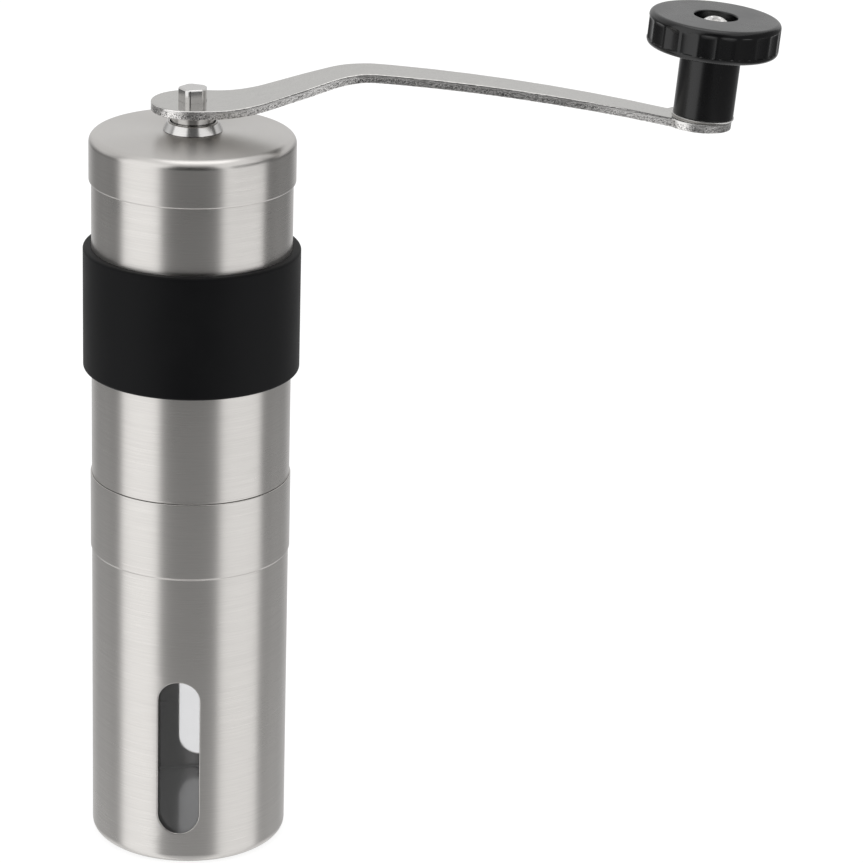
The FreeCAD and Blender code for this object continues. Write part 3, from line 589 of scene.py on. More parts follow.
class MouldGrain(Effect):
    """The very fine texture that a mould leaves on plastic and rubber."""

    name = "mould_grain"
    inputs = (("Place", "NodeSocketVector", None), ("Rate", "NodeSocketFloat", 4.0))
    outputs = (("Grain", "NodeSocketFloat"),)

    def wire(self, graph: Graph, given: Mapping[str, Socket]) -> dict[str, Socket]:
        """One fine noise."""
        return {"Grain": graph.noise(given["Place"], given["Rate"], detail=3.0, roughness=0.6)}


# ---------------------------------------------------------------- finishes

@dataclass(frozen=True)
class Finish:
    """A surface that pieces can be given."""

    name: str
    slot: str

    def material(self) -> bpy.types.Material:
        """The finish's material, made on first use.

        Returns:
            The material.
        """
        title = f"finish_{self.name}"
        found = bpy.data.materials.get(title)
        if found is not None:
            return found
        made = bpy.data.materials.new(title)
        made.use_nodes = True
        graph = Graph(made.node_tree)
        self.wire(graph, made.node_tree.nodes["Principled BSDF"])
        return made

    def wire(self, graph: Graph, shader: bpy.types.Node) -> None:
        """Wire the finish into its shader."""
        raise NotImplementedError


class Grain(Enum):
    """How fast a metal's fine lines change along X, Y and Z, per millimetre: they run round the axis."""

    BRUSHED = (0.085, 0.085, 11.0)
    TURNED = (0.3, 0.3, 9.0)
    COARSE = (0.4, 0.4, 6.0)


@dataclass(frozen=True)
class BrushedSteel(Finish):
    """Stainless sheet with fine lines. Reflections stretch across them."""

    grain: Grain = Grain.BRUSHED
    tint: Colour = (0.607, 0.589, 0.568)
    contrast: float = 0.11
    roughness: float = 0.27
    stretch: float = 0.68
    stretch_turn: float = 0.25
    relief: float = 0.05
    line_tilt: Span = (0.9, 0.35)
    crown_lines: float = 0.12
    haze_tilt: Span = (0.3, 0.9)
    crown_haze: float = 0.04
    cloud_size: float = 0.045
    cloud_haze: float = 0.04

    def wire(self, graph: Graph, shader: bpy.types.Node) -> None:
        """Lines change colour, roughness and relief a little, and clouds change roughness.

        Args:
            graph: The material's tree.
            shader: Its main shader.
        """
        spot = graph.place()
        grain = BrushedGrain().put(graph, Place=spot, Rate=self.grain.value)
        cloud = Cloudiness().put(graph, Place=spot, Size=self.cloud_size)["Cloud"]
        facing = graph.node("ShaderNodeNewGeometry").outputs["Normal"]
        tilt = graph.math("ABSOLUTE", graph.node("ShaderNodeSeparateXYZ", {0: facing}).outputs["Z"])
        upright = graph.remap(tilt, *self.line_tilt, self.crown_lines, 1.0, smooth=True)
        line = graph.mix(upright, 0.5, grain["Line"])
        dark, light = shaded(self.tint, 1 - self.contrast), shaded(self.tint, 1 + self.contrast)
        rough = graph.remap(line, 0, 1, self.roughness + 0.04, self.roughness - 0.03)
        haze = graph.remap(tilt, *self.haze_tilt, 0.0, self.crown_haze, smooth=True)
        rough = graph.math("ADD", rough, haze)
        height = graph.math("MULTIPLY", grain["Height"], upright)
        graph.feed(shader, {
            "Base Color": graph.blend(line, dark, light),
            "Roughness": graph.math("MULTIPLY_ADD", cloud, self.cloud_haze, rough),
            "Normal": graph.bump(height, self.relief, 0.02),
            "Tangent": graph.node("ShaderNodeTangent", direction_type="RADIAL", axis="Z").outputs[0],
            "Metallic": 1.0, "Anisotropic": self.stretch, "Anisotropic Rotation": self.stretch_turn})


@dataclass(frozen=True)
class PolishedSteel(Finish):
    """Turned and polished steel with faint handling marks."""

    grain: Grain = Grain.TURNED
    tint: Colour = (0.66, 0.65, 0.64)
    dark: float = 0.93
    roughness: float = 0.15
    cloud_size: float = 0.5
    cloud_haze: float = 0.06
    relief: float = 0.03

    def wire(self, graph: Graph, shader: bpy.types.Node) -> None:
        """Faint turning lines and clouds in the gloss.

        Args:
            graph: The material's tree.
            shader: Its main shader.
        """
        spot = graph.place()
        grain = BrushedGrain().put(graph, Place=spot, Rate=self.grain.value)
        cloud = Cloudiness().put(graph, Place=spot, Size=self.cloud_size)["Cloud"]
        graph.feed(shader, {
            "Base Color": graph.blend(grain["Line"], shaded(self.tint, self.dark), self.tint),
            "Roughness": graph.remap(cloud, 0, 1, self.roughness, self.roughness + self.cloud_haze),
            "Normal": graph.bump(grain["Height"], self.relief, 0.01),
            "Metallic": 1.0})


@dataclass(frozen=True)
class SheetSteel(Finish):
    """Tumbled steel plate: pale, matt and faintly mottled."""

    tint: Colour = (0.55, 0.54, 0.52)
    dark: float = 0.86
    light: float = 1.07
    roughness: float = 0.15
    rate: float = 3.0
    cloud_size: float = 0.35
    relief: float = 0.05

    def wire(self, graph: Graph, shader: bpy.types.Node) -> None:
        """Fine tumbling marks with a few clouds.

        Args:
            graph: The material's tree.
            shader: Its main shader.
        """
        spot = graph.place()
        grain = MouldGrain().put(graph, Place=spot, Rate=self.rate)["Grain"]
        cloud = Cloudiness().put(graph, Place=spot, Size=self.cloud_size)["Cloud"]
        share = graph.math("MULTIPLY_ADD", cloud, 0.35, graph.remap(grain, 0.35, 0.65, 0.0, 0.6))
        graph.feed(shader, {
            "Base Color": graph.blend(share, shaded(self.tint, self.dark), shaded(self.tint, self.light)),
            "Roughness": graph.remap(cloud, 0, 1, self.roughness - 0.03, self.roughness + 0.06),
            "Normal": graph.bump(grain, self.relief, 0.02),
            "Metallic": 1.0})


@dataclass(frozen=True)
class CutSteel(Finish):
    """The cut edge of stamped plate: a burnished band at the top, torn metal below it."""

    tint: Colour = (0.62, 0.61, 0.60)
    burnished: float = 0.36
    raggedness: float = 0.3
    seam: float = 0.06
    dark: float = 0.34
    streak: float = 0.85
    light: float = 1.5
    burnished_roughness: float = 0.16
    torn_roughness: float = 0.26
    relief: float = 0.6
    relief_depth: float = 0.13
    ragged_rate: Spot = (0.7, 0.7, 0.7)
    crumb_rate: Spot = (2.2, 2.2, 2.6)
    drawn_rate: Spot = (0.5, 0.5, 7.0)

    def wire(self, graph: Graph, shader: bpy.types.Node) -> None:
        """The piece's own depth mark parts the burnished band from the torn one.

        Args:
            graph: The material's tree.
            shader: Its main shader.
        """
        spot = graph.place()
        depth = graph.node("ShaderNodeAttribute", attribute_name="depth").outputs["Fac"]
        ragged = graph.noise(graph.stretch(spot, self.ragged_rate), 1.0, detail=3.0)
        edge = graph.math("MULTIPLY_ADD", ragged, self.raggedness, self.burnished - self.raggedness / 2)
        torn = graph.remap(graph.math("SUBTRACT", depth, edge), -self.seam, self.seam, smooth=True)
        crumbs = graph.noise(graph.stretch(spot, self.crumb_rate), 1.0, detail=4.0, roughness=0.75)
        drawn = graph.noise(graph.stretch(spot, self.drawn_rate), 1.0, detail=3.0, roughness=0.7)
        light = shaded(self.tint, self.light)
        speckle = graph.blend(graph.remap(crumbs, 0.38, 0.56), shaded(self.tint, self.dark), light)
        streak = graph.blend(graph.remap(drawn, 0.3, 0.7), shaded(self.tint, self.streak), light)
        height = graph.mix(torn, drawn, crumbs)
        graph.feed(shader, {
            "Base Color": graph.blend(torn, streak, speckle),
            "Roughness": graph.remap(torn, 0, 1, self.burnished_roughness, self.torn_roughness),
            "Normal": graph.bump(height, self.relief, self.relief_depth),
            "Metallic": 1.0})


@dataclass(frozen=True)
class Moulding(Finish):
    """Moulded plastic or rubber: one colour, a fine mould grain and a few specks."""

    colour: Colour = (0.010, 0.010, 0.011)
    bloom: Colour = (0.022, 0.022, 0.023)
    roughness: float = 0.4
    coat: float = 0.0
    coat_roughness: float = 0.08
    relief: float = 0.05
    rate: float = 4.0
    cloud_size: float = 0.11
    specks: float = 0.06
    speck_rate: float = 0.9
    gloss: float = 0.5
    sheen: float = 0.0

    def wire(self, graph: Graph, shader: bpy.types.Node) -> None:
        """Grain in the relief, clouds in colour and gloss, specks in colour.

        Args:
            graph: The material's tree.
            shader: Its main shader.
        """
        spot = graph.place()
        grain = MouldGrain().put(graph, Place=spot, Rate=self.rate)["Grain"]
        cloud = Cloudiness().put(graph, Place=spot, Size=self.cloud_size)["Cloud"]
        speck = FineSpeck().put(graph, Place=spot, Rate=self.speck_rate, Share=self.specks)["Speck"]
        share = graph.math("ADD", graph.math("MULTIPLY", cloud, 0.35), graph.math("MULTIPLY", speck, 0.65))
        rough = graph.remap(cloud, 0, 1, self.roughness, self.roughness + 0.07)
        graph.feed(shader, {
            "Base Color": graph.blend(share, self.colour, self.bloom),
            "Roughness": graph.math("MULTIPLY_ADD", speck, 0.2, rough),
            "Normal": graph.bump(grain, self.relief, 0.05),
            "Specular IOR Level": self.gloss, "Sheen Weight": self.sheen,
            "Coat Weight": self.coat, "Coat Roughness": self.coat_roughness})


@dataclass(frozen=True)
class ClearPlastic(Finish):
    """Clear moulded plastic with faint scuffs."""

    tint: Colour = (0.842, 0.842, 0.847)
    roughness: float = 0.02
    scuffs: float = 0.05
    scuff_size: float = 0.3
    bending: float = 1.49

    def wire(self, graph: Graph, shader: bpy.types.Node) -> None:
        """Scuffs in the gloss only.

        Args:
            graph: The material's tree.
            shader: Its main shader.
        """
        cloud = Cloudiness().put(graph, Place=graph.place(), Size=self.scuff_size)["Cloud"]
        graph.feed(shader, {
            "Base Color": opaque(self.tint),
            "Roughness": graph.remap(cloud, 0, 1, self.roughness, self.roughness + self.scuffs),
            "Transmission Weight": 1.0, "IOR": self.bending})


@dataclass(frozen=True)
class Brass(Finish):
    """Plain turned brass, slightly tarnished."""

    grain: Grain = Grain.COARSE
    bright: Colour = (0.72, 0.54, 0.26)
    dull: Colour = (0.46, 0.32, 0.15)
    bright_roughness: float = 0.25
    dull_roughness: float = 0.42
    tarnish_size: float = 0.4
    relief: float = 0.1

    def wire(self, graph: Graph, shader: bpy.types.Node) -> None:
        """Tarnish in clouds, turning lines in the relief.

        Args:
            graph: The material's tree.
            shader: Its main shader.
        """
        spot = graph.place()
        grain = BrushedGrain().put(graph, Place=spot, Rate=self.grain.value)
        cloud = Cloudiness().put(graph, Place=spot, Size=self.tarnish_size)["Cloud"]
        graph.feed(shader, {
            "Base Color": graph.blend(cloud, self.bright, self.dull),
            "Roughness": graph.remap(cloud, 0, 1, self.bright_roughness, self.dull_roughness),
            "Normal": graph.bump(grain["Height"], self.relief, 0.02),
            "Metallic": 1.0})


BRUSHED = BrushedSteel("brushed_steel", "brushed_steel")
POLISHED = PolishedSteel("polished_steel", "polished_steel")
SPRING_STEEL = PolishedSteel("spring_steel", "polished_steel", tint=(0.42, 0.42, 0.43), roughness=0.2)
PLATE = SheetSteel("plate_face", "stamped_steel")
PLATE_EDGE = CutSteel("plate_edge", "stamped_steel")
DULL_STEEL = SheetSteel("washer_steel", "polished_steel", tint=(0.86, 0.85, 0.84), roughness=0.45)
CLEAR = ClearPlastic("clear_beaker", "clear_plastic")
FROSTED = Moulding("frosted_floor", "clear_plastic", colour=(0.42, 0.42, 0.42), bloom=(0.45, 0.45, 0.45),
                   roughness=0.18, coat=1.0, relief=0.005, specks=0.0, gloss=1.0)
RUBBER = Moulding("grip_rubber", "silicone", colour=(0.0024, 0.0025, 0.0030), bloom=(0.006, 0.006, 0.0066),
                  roughness=0.48, relief=0.09, rate=5.0, specks=0.05, gloss=0.1, sheen=0.035)
GLOSS_BLACK = Moulding("gloss_black", "gloss_black_plastic", colour=(0.0022, 0.0022, 0.0026),
                       bloom=(0.0055, 0.0055, 0.006), roughness=0.24, relief=0.03, rate=6.0, specks=0.04,
                       gloss=0.44, coat=0.12)
MATT_BLACK = Moulding("matt_black", "black_plastic", colour=(0.012, 0.012, 0.012),
                      bloom=(0.026, 0.026, 0.026), roughness=0.42, relief=0.08, rate=4.0)
CERAMIC = Moulding("burr_ceramic", "ceramic", colour=(0.74, 0.72, 0.68), bloom=(0.60, 0.57, 0.52),
                   roughness=0.38, relief=0.12, rate=3.0, specks=0.2)
BRASS = Brass("turned_brass", "brass")


# ---------------------------------------------------------------- sub-assemblies

class Assembly:
    """Pieces that ride on one body of the frame."""

    body = ""

    def build(self) -> None:
        """Make and dress the sub-assembly's pieces."""
        raise NotImplementedError

    def fit(self, piece: bpy.types.Object, finish: Finish, *nodes: str) -> bpy.types.Object:
        """Put a new piece on the body in place of frame nodes.

        Args:
            piece: The new piece.
            finish: Its main finish. Not used.
            nodes: The frame nodes it stands for.

        Returns:
            The piece.
        """
        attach(piece, self.body)
        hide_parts(*nodes)
        log.info("%s: %s for %s, %d faces", self.body, piece.name, ", ".join(nodes),
                 len(piece.data.polygons))
        return piece

    def dress(self, finish: Finish, *nodes: str) -> None:
        """Give frame nodes that are kept a finish.

        Args:
            finish: The finish.
            nodes: The frame nodes, which keep their meshes.
        """
        for node in nodes:
            kept = frame["nodes"][node]
            if not kept.material_slots:
                kept.data.materials.append(None)
            for place in kept.material_slots:
                place.material = finish.material()
            log.info("%s: %s kept, %s", self.body, node, finish.name)


@dataclass
class CatchCup(Assembly):
    """Drawn steel cup with two view slots, and the clear beaker inside it."""

    body = "cup"
    wall: float = 0.5
    swell: float = 0.3
    collar_length: float = 18.8
    base_round: float = 2.1
    step_round: float = 0.35
    rim_round: float = 0.14
    slot_width: float = 10.0
    slot_low: float = 8.0
    slot_high: float = 47.6
    slot_turn: float = -6.4
    slot_edge: float = 0.2
    patch_margin: float = 2.4
    patch_rows: int = 40
    patch_half: int = 9
    patch_blend: tuple[float, ...] = (0.4, 0.75, 1.0)
    beaker_wall: float = 1.0
    beaker_floor: float = 4.0
    beaker_rim: float = 0.4
    floor_round: float = 0.35

    def build(self) -> None:
        """Make the cup's shell and its beaker."""
        high = node_box("catch_cup")[1]
        self.seam = high.z
        self.radius = high.x - self.swell
        self.patch_heights = evenly(self.slot_low - self.patch_margin, self.slot_high + self.patch_margin,
                                    self.patch_rows)
        self.fit(self.shell(), BRUSHED, "catch_cup")
        self.fit(self.beaker(), CLEAR, "cup_liner")

    def profile(self) -> list[Point]:
        """The cup's section from the middle of its base out, up, and back down inside.

        Returns:
            The section's points.
        """
        outer, inner = self.radius, self.radius - self.wall
        step = self.seam - self.collar_length
        corners = [Corner(0, 0), Corner(outer, 0, self.base_round)]
        corners += [Corner(outer, height) for height in self.patch_heights]
        corners += [
            Corner(outer, step - self.swell / 2, self.step_round),
            Corner(outer + self.swell, step + self.swell / 2, self.step_round),
            Corner(outer + self.swell, self.seam, self.rim_round),
            Corner(inner + self.swell, self.seam, self.rim_round),
            Corner(inner + self.swell, step + self.swell / 2, self.step_round),
            Corner(inner, step - self.swell / 2, self.step_round)]
        corners += [Corner(inner, height) for height in reversed(self.patch_heights)]
        corners += [Corner(inner, self.wall, self.base_round - self.wall), Corner(0, self.wall)]
        return softened(corners, closed=False)

    def shell(self) -> bpy.types.Object:
        """The cup, with its slots let into the wall.

        Returns:
            The new piece.
        """
        profile = self.profile()
        first = math.radians(self.slot_turn - 90)
        angles = all_round(TUBE_SEGMENTS, first)
        middles = (0, TUBE_SEGMENTS // 2)
        steps = range(-self.patch_half, self.patch_half + 1)
        columns = [[(middle + step) % TUBE_SEGMENTS for step in steps] for middle in middles]
        gaps = {column for patch in columns for column in patch[:-1]}
        skins = [self.rows_of(profile, reach) for reach in (self.radius, self.radius - self.wall)]
        skip = {row: gaps for skin in skins for row in range(min(skin), max(skin))}
        draft = Draft()
        rows = draft.turn(profile, angles, skip=skip)
        outer, inner = ([rows[number] for number in sorted(skin, key=lambda n: profile[n][1])]
                        for skin in skins)
        for middle, patch in zip(middles, columns):
            self.let_in_slot(draft, outer, inner, patch, angles[middle])
        return draft.make("cup_shell", [BRUSHED])

    def rows_of(self, profile: Sequence[Point], reach: float) -> list[int]:
        """Numbers of the profile's points that border the slots on one side of the wall."""
        return [number for number, (across, up) in enumerate(profile) if abs(across - reach) < TINY
                and any(abs(up - height) < TINY for height in self.patch_heights)]

    def hole_point(self, turn: float, height: float, extra: float) -> Point:
        """The slot's edge nearest to a point of the wall.

        Args:
            turn: The point's angle from the slot's middle line.
            height: The point's height.
            extra: How far outside the edge to stand.

        Returns:
            The angle and the height of the edge.
        """
        half = self.slot_width / 2
        middle = min(self.slot_high - half, max(self.slot_low + half, height))
        away = Vector((self.radius * math.sin(turn), height - middle)).normalized() * (half + extra)
        return math.asin(away.x / self.radius), middle + away.y

    def let_in_slot(self, draft: Draft, outer: Sequence[list[int]], inner: Sequence[list[int]],
                    patch: Sequence[int], middle: float) -> None:
        """Join the wall's two skins through one rounded slot.

        Args:
            draft: The cup's mesh.
            outer: The outer skin's rows beside the slot, from the lowest up.
            inner: The inner skin's rows.
            patch: The columns beside the slot.
            middle: The angle of the slot's middle line.
        """
        step = 2 * math.pi / TUBE_SEGMENTS
        turns = {column: (number - self.patch_half) * step for number, column in enumerate(patch)}
        heights = self.patch_heights
        border = [(column, 0) for column in patch]
        border += [(patch[-1], row) for row in range(1, self.patch_rows)]
        border += [(column, self.patch_rows) for column in reversed(patch)]
        border += [(patch[0], row) for row in range(self.patch_rows - 1, 0, -1)]

        def loop(share: float, extra: float, depth: float) -> list[int]:
            """A ring between the patch's border and the slot's edge.

            Args:
                share: How far from the patch's border to the slot's edge.
                extra: How far outside the edge to stay.
                depth: How far inside the wall's outer face.

            Returns:
                The ring's vertices.
            """
            reach = self.radius - depth
            spots = []
            for column, row in border:
                start = Vector((turns[column], heights[row]))
                edge = Vector(self.hole_point(start.x, start.y, extra))
                turn, height = start.lerp(edge, share)
                spots.append(on_ring(reach, middle + turn, height))
            return draft.add(spots)

        approach = [(share, self.slot_edge + GUARD) for share in self.patch_blend]
        rolls = rolled(self.slot_edge, ROUND_STEPS)
        loops = [[outer[row][column] for column, row in border]]
        loops += [loop(share, extra, 0.0) for share, extra in approach]
        loops += [loop(1.0, extra, depth) for extra, depth in rolls]
        loops += [loop(1.0, extra, self.wall - depth) for extra, depth in reversed(rolls)]
        loops += [loop(share, extra, self.wall) for share, extra in reversed(approach)]
        loops.append([inner[row][column] for column, row in border])
        for one, two in pairwise(loops):
            draft.strip(one, two)

    def beaker(self) -> bpy.types.Object:
        """The clear beaker, with a rounded rim and base.

        Returns:
            The new piece.
        """
        low, high = node_box("cup_liner")
        outer, inner = high.x, high.x - self.beaker_wall
        floor = low.z + self.beaker_floor
        profile = softened([
            Corner(0, low.z), Corner(outer, low.z, self.base_round),
            Corner(outer, high.z, self.beaker_rim), Corner(inner, high.z, self.beaker_rim),
            Corner(inner, floor, self.floor_round), Corner(0, floor)], closed=False)
        draft = Draft()
        draft.turn(profile, all_round(TUBE_SEGMENTS), zones={
            number: 1 for number, (one, two) in enumerate(pairwise(profile))
            if max(one[1], two[1]) < floor + self.base_round})
        return draft.make("beaker", [CLEAR, FROSTED])


@dataclass
class BeanHopper(Assembly):
    """Steel tube with its silicone grip, and the burr housing and bearings inside it."""

    body = "hopper"
    wall: float = 0.5
    rim_round: float = 0.12
    seam_cover: float = 0.3
    seam_lip: float = 0.03
    lip_height: float = 0.4
    grip_round: float = 0.55
    grip_lip: float = 0.15

    def build(self) -> None:
        """Make the tube and the grip and dress what is inside."""
        low, high = node_box("hopper_tube")
        self.tube(low.z, high.z, high.x)
        self.grip(high.x)
        self.dress(MATT_BLACK, "burr_housing", "burr_retainer", "shaft_bridge")
        self.dress(CERAMIC, "ring_burr")
        self.dress(BRASS, "lower_bush", "upper_bush")

    def tube(self, low: float, high: float, outer: float) -> None:
        """The steel tube between two heights, its foot just over the housing's edge.

        Args:
            low: The frame tube's lower end.
            high: Its upper end.
            outer: Its outer radius.
        """
        inner, foot, lip = outer - self.wall, low - self.seam_cover, outer + self.seam_lip
        draft = Draft()
        draft.turn(softened([
            Corner(inner, foot, self.rim_round), Corner(lip, foot, self.rim_round),
            Corner(lip, foot + self.lip_height, self.seam_lip),
            Corner(outer, foot + self.lip_height + 2 * self.seam_lip, self.seam_lip),
            Corner(outer, high, self.rim_round), Corner(inner, high, self.rim_round)],
            closed=True), all_round(TUBE_SEGMENTS))
        self.fit(draft.make("hopper_shell", [BRUSHED]), BRUSHED, "hopper_tube")

    def grip(self, inner: float) -> None:
        """The silicone band round the tube.

        Args:
            inner: The radius that it sits on.
        """
        low, high = node_box("grip_band")
        draft = Draft()
        draft.turn(softened([
            Corner(inner, low.z, self.grip_lip), Corner(high.x, low.z, self.grip_round),
            Corner(high.x, high.z, self.grip_round), Corner(inner, high.z, self.grip_lip)],
            closed=True), all_round(TUBE_SEGMENTS))
        self.fit(draft.make("grip_sleeve", [RUBBER]), RUBBER, "grip_band")


@dataclass
class Lid(Assembly):
    """Steel lid with a polished neck in its middle and a plastic insert under it."""

    body = "lid"
    wall: float = 0.5
    edge_round: float = 2.0
    skirt_round: float = 0.42
    skirt_lip: float = 0.07
    dome: float = 1.1
    bow: float = 0.17
    hole: float = 5.7
    crown_start: float = 0.15
    crown_parts: int = 8
    crown_steps: int = 10
    neck_bore: float = 5.3
    neck_height: float = 2.2
    neck_foot: float = 6.95
    neck_rim: float = 6.0
    neck_round: float = 0.35
    neck_bore_round: float = 0.2
    neck_break: float = 0.1
    neck_play: float = 0.05
    neck_lift: float = 0.025
    foot_height: float = 0.15
    foot_taper: float = 0.02

    def build(self) -> None:
        """Make the shell and the neck and dress the insert."""
        self.low, self.high = node_box("cap_shell")
        self.shell()
        self.neck()
        self.dress(MATT_BLACK, "cap_insert")

    def crown(self, drop: float) -> list[Corner]:
        """One face of the lid's shallow crown.

        Args:
            drop: How far below the upper face.

        Returns:
            Corners from the edge to the hole.
        """
        edge = self.high.z - self.dome
        corners = []
        for part in evenly(self.crown_start, 1.0, self.crown_parts):
            across = self.high.x + (self.hole - self.high.x) * part
            rise = self.dome * part + 4 * self.bow * part * (1 - part)
            corners.append(Corner(across, edge + rise - drop))
        return corners

    def shell(self) -> None:
        """The steel shell, its edge rounded and its skirt's rim rolled."""
        outer, inner = self.high.x, self.high.x - self.wall
        edge = self.high.z - self.dome
        top = self.crown(0.0)
        under = self.crown(self.wall)[::-1]
        corners = [Corner(inner, self.low.z, self.skirt_lip), Corner(outer, self.low.z, self.skirt_round),
                   Corner(outer, edge, self.edge_round), *top, *under,
                   Corner(inner, edge - self.wall, self.edge_round - self.wall)]
        draft = Draft()
        draft.turn(softened(corners, closed=True, steps=self.crown_steps), all_round(TUBE_SEGMENTS))
        self.fit(draft.make("lid_shell", [BRUSHED]), BRUSHED, "cap_shell")

    def neck(self) -> None:
        """The polished ring that guides the shaft's collar."""
        low, high = node_box("cap_neck")
        seat = high.z - self.neck_height
        flare = seat - self.wall - self.neck_break
        throat = self.hole - self.neck_play
        draft = Draft()
        draft.turn(softened([
            Corner(self.neck_bore, low.z, self.neck_break), Corner(high.x, low.z, self.neck_break),
            Corner(high.x, flare, self.neck_break), Corner(throat, flare),
            Corner(throat, seat + self.neck_lift), Corner(self.neck_foot, seat + self.neck_lift, 0.04),
            Corner(self.neck_foot - self.foot_taper, seat + self.foot_height, 0.08),
            Corner(self.neck_rim, high.z, self.neck_round),
            Corner(self.neck_bore, high.z, self.neck_bore_round)], closed=True), all_round(SMALL_SEGMENTS))
        self.fit(draft.make("lid_neck", [POLISHED]), POLISHED, "cap_neck")


@dataclass(frozen=True)
class Bar:
    """A regular bar with broken corners: how many sides, how far out its corners, how it is turned."""

    sides: int
    corner: float
    turn: float
    corner_break: float = 0.4

    def reach(self, angle: float) -> float:
        """Distance from the axis to the bar's side at an angle.

        Args:
            angle: The angle round the axis.

        Returns:
            The distance, cut short at the broken corners.
        """
        span = 2 * math.pi / self.sides
        off = (angle - math.radians(self.turn)) % span - span / 2
        return min(self.corner * math.cos(span / 2) / math.cos(off), self.corner - self.corner_break)


BURR_SQUARE = Bar(sides=4, corner=3.3, turn=45.0)
CRANK_END = Bar(sides=5, corner=3.8, turn=176.0)


@dataclass
class DriveShaft(Assembly):
    """The shaft with its collar, washers, clip and burr spring."""

    body = "shaft"
    radius: float = 3.45
    thread_radius: float = 2.25
    thread_pitch: float = 0.8
    thread_depth: float = 0.28
    thread_length: float = 15.4
    thread_start: Span = (0.3, 1.1)
    thread_end: Span = (0.5, 1.5)
    thread_rows: int = 150
    tip_height: float = 0.25
    tip_inset: float = 0.3
    square_length: float = 21.2
    square_rows: int = 8
    groove_radius: float = 2.9
    crown_edge: float = 0.45
    crown_rows: int = 5
    edge_step: int = 15
    collar_gap: float = 0.2
    collar_play: float = 0.01
    collar_round: float = 0.3
    segments: int = 240
    wire: float = 0.8
    coil_turns: float = 4.0
    coil_steps: int = 64
    wire_sides: int = 14

    def build(self) -> None:
        """Make shaft, collar and spring and dress the rings."""
        self.shaft()
        self.collar()
        self.spring()
        self.dress(POLISHED, "thrust_washer", "spring_washer")
        self.dress(SPRING_STEEL, "retaining_clip")

    def shaft(self) -> None:
        """Threaded end, square, round shaft with its groove, and the five-sided end."""
        low, high = node_box("drive_shaft")
        clip_low, clip_high = (corner.z for corner in node_box("retaining_clip"))
        thread_top = low.z + self.thread_length
        square_top = thread_top + self.square_length
        crown_start = node_box("shaft_collar")[1].z
        edge_start = high.z - self.crown_edge

        def threaded(angle: float, across: float, up: float) -> Point:
            """The thread's flank, fading out at both ends.

            Args:
                angle: The angle round the axis.
                across: The distance from the axis.
                up: The height.

            Returns:
                Where the point goes, as distance and height.
            """
            phase = (up / self.thread_pitch - angle / (2 * math.pi)) % 1.0
            fade = smooth_step(up, *(low.z + mark for mark in self.thread_start))
            fade *= smooth_step(up, *(thread_top - mark for mark in self.thread_end))
            return across - self.thread_depth * fade * abs(2 * phase - 1), up

        def squared(angle: float, across: float, up: float) -> Point:
            """The square that turns the cone burr."""
            return BURR_SQUARE.reach(angle), up

        def crowned(angle: float, across: float, up: float) -> Point:
            """The five-sided end, its upper edge rounded.

            Args:
                angle: The angle round the axis.
                across: The distance from the axis.
                up: The height.

            Returns:
                Where the point goes, as distance and height.
            """
            rise = min(1.0, max(0.0, up - edge_start) / self.crown_edge)
            pull = self.crown_edge * (1 - math.sqrt(1 - rise * rise))
            return CRANK_END.reach(angle) - pull, up

        def cap(angle: float, across: float, up: float) -> Point:
            """The flat top inside the rounded edge."""
            return CRANK_END.reach(angle) - self.crown_edge - GUARD, up

        edge_rise = [math.sin(math.radians(turn)) for turn in range(0, 91, self.edge_step)]
        sections = (
            (None, self.thread_radius - self.tip_inset, [low.z]),
            (threaded, self.thread_radius, evenly(low.z + self.tip_height, thread_top, self.thread_rows)),
            (squared, self.radius, evenly(thread_top, square_top, self.square_rows)),
            (None, self.radius, [square_top, square_top + GUARD, clip_low - GUARD, clip_low]),
            (None, self.groove_radius, [clip_low, clip_high]),
            (None, self.radius, [clip_high, clip_high + GUARD, crown_start - GUARD, crown_start]),
            (crowned, self.radius, evenly(crown_start, edge_start - GUARD, self.crown_rows)),
            (crowned, self.radius, [edge_start + self.crown_edge * rise for rise in edge_rise]),
            (cap, self.radius, [high.z]))
        angles = all_round(self.segments)
        draft = Draft()
        rows = [draft.add([(0, 0, low.z)])]
        for shape, across, heights in sections:
            for height in heights:
                rows.append(draft.add(
                    on_ring(shape(angle, across, height)[0] if shape else across, angle, height)
                    for angle in angles))
        rows.append(draft.add([(0, 0, high.z)]))
        for one, two in pairwise(rows):
            draft.strip(one, two)
        self.fit(draft.make("main_shaft", [POLISHED]), POLISHED, "drive_shaft")

    def collar(self) -> None:
        """The collar that the arm sits on."""
        low, high = node_box("shaft_collar")
        bore, reach = self.radius + self.collar_play, high.x - self.collar_gap
        draft = Draft()
        draft.turn(softened([
            Corner(bore, low.z), Corner(reach, low.z, self.collar_round),
            Corner(reach, high.z, self.collar_round), Corner(bore, high.z)], closed=True),
            all_round(SMALL_SEGMENTS))
        self.fit(draft.make("arm_collar", [POLISHED]), POLISHED, "shaft_collar")

    def spring(self) -> None:
        """The burr spring, a coil of round wire."""
        low, high = node_box("burr_spring")
        half = self.wire / 2
        middle = high.x - half
        bottom, top = low.z + half, high.z - half
        count = round(self.coil_turns * self.coil_steps)
        draft = Draft()
        rings = []
        for step in range(count + 1):
            turn = 2 * math.pi * step / self.coil_steps
            rise = bottom + (top - bottom) * step / count
            rings.append(draft.add(
                on_ring(middle + half * math.cos(side), turn, rise + half * math.sin(side))
                for side in all_round(self.wire_sides)))
        for one, two in pairwise(rings):
            draft.strip(one, two)
        draft.face(rings[0])
        draft.face(rings[-1])
        coil = draft.make("spring_coil", [SPRING_STEEL])
        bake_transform(coil)
        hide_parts("burr_spring")
        log.info("%s: %s for burr_spring, %d faces", self.body, coil.name, len(coil.data.polygons))


class BurrCarriage(Assembly):
    """The turning burr and its carrier."""

    body = "burr_carriage"

    def build(self) -> None:
        """Dress both parts."""
        self.dress(CERAMIC, "cone_burr")
        self.dress(MATT_BLACK, "burr_carrier")


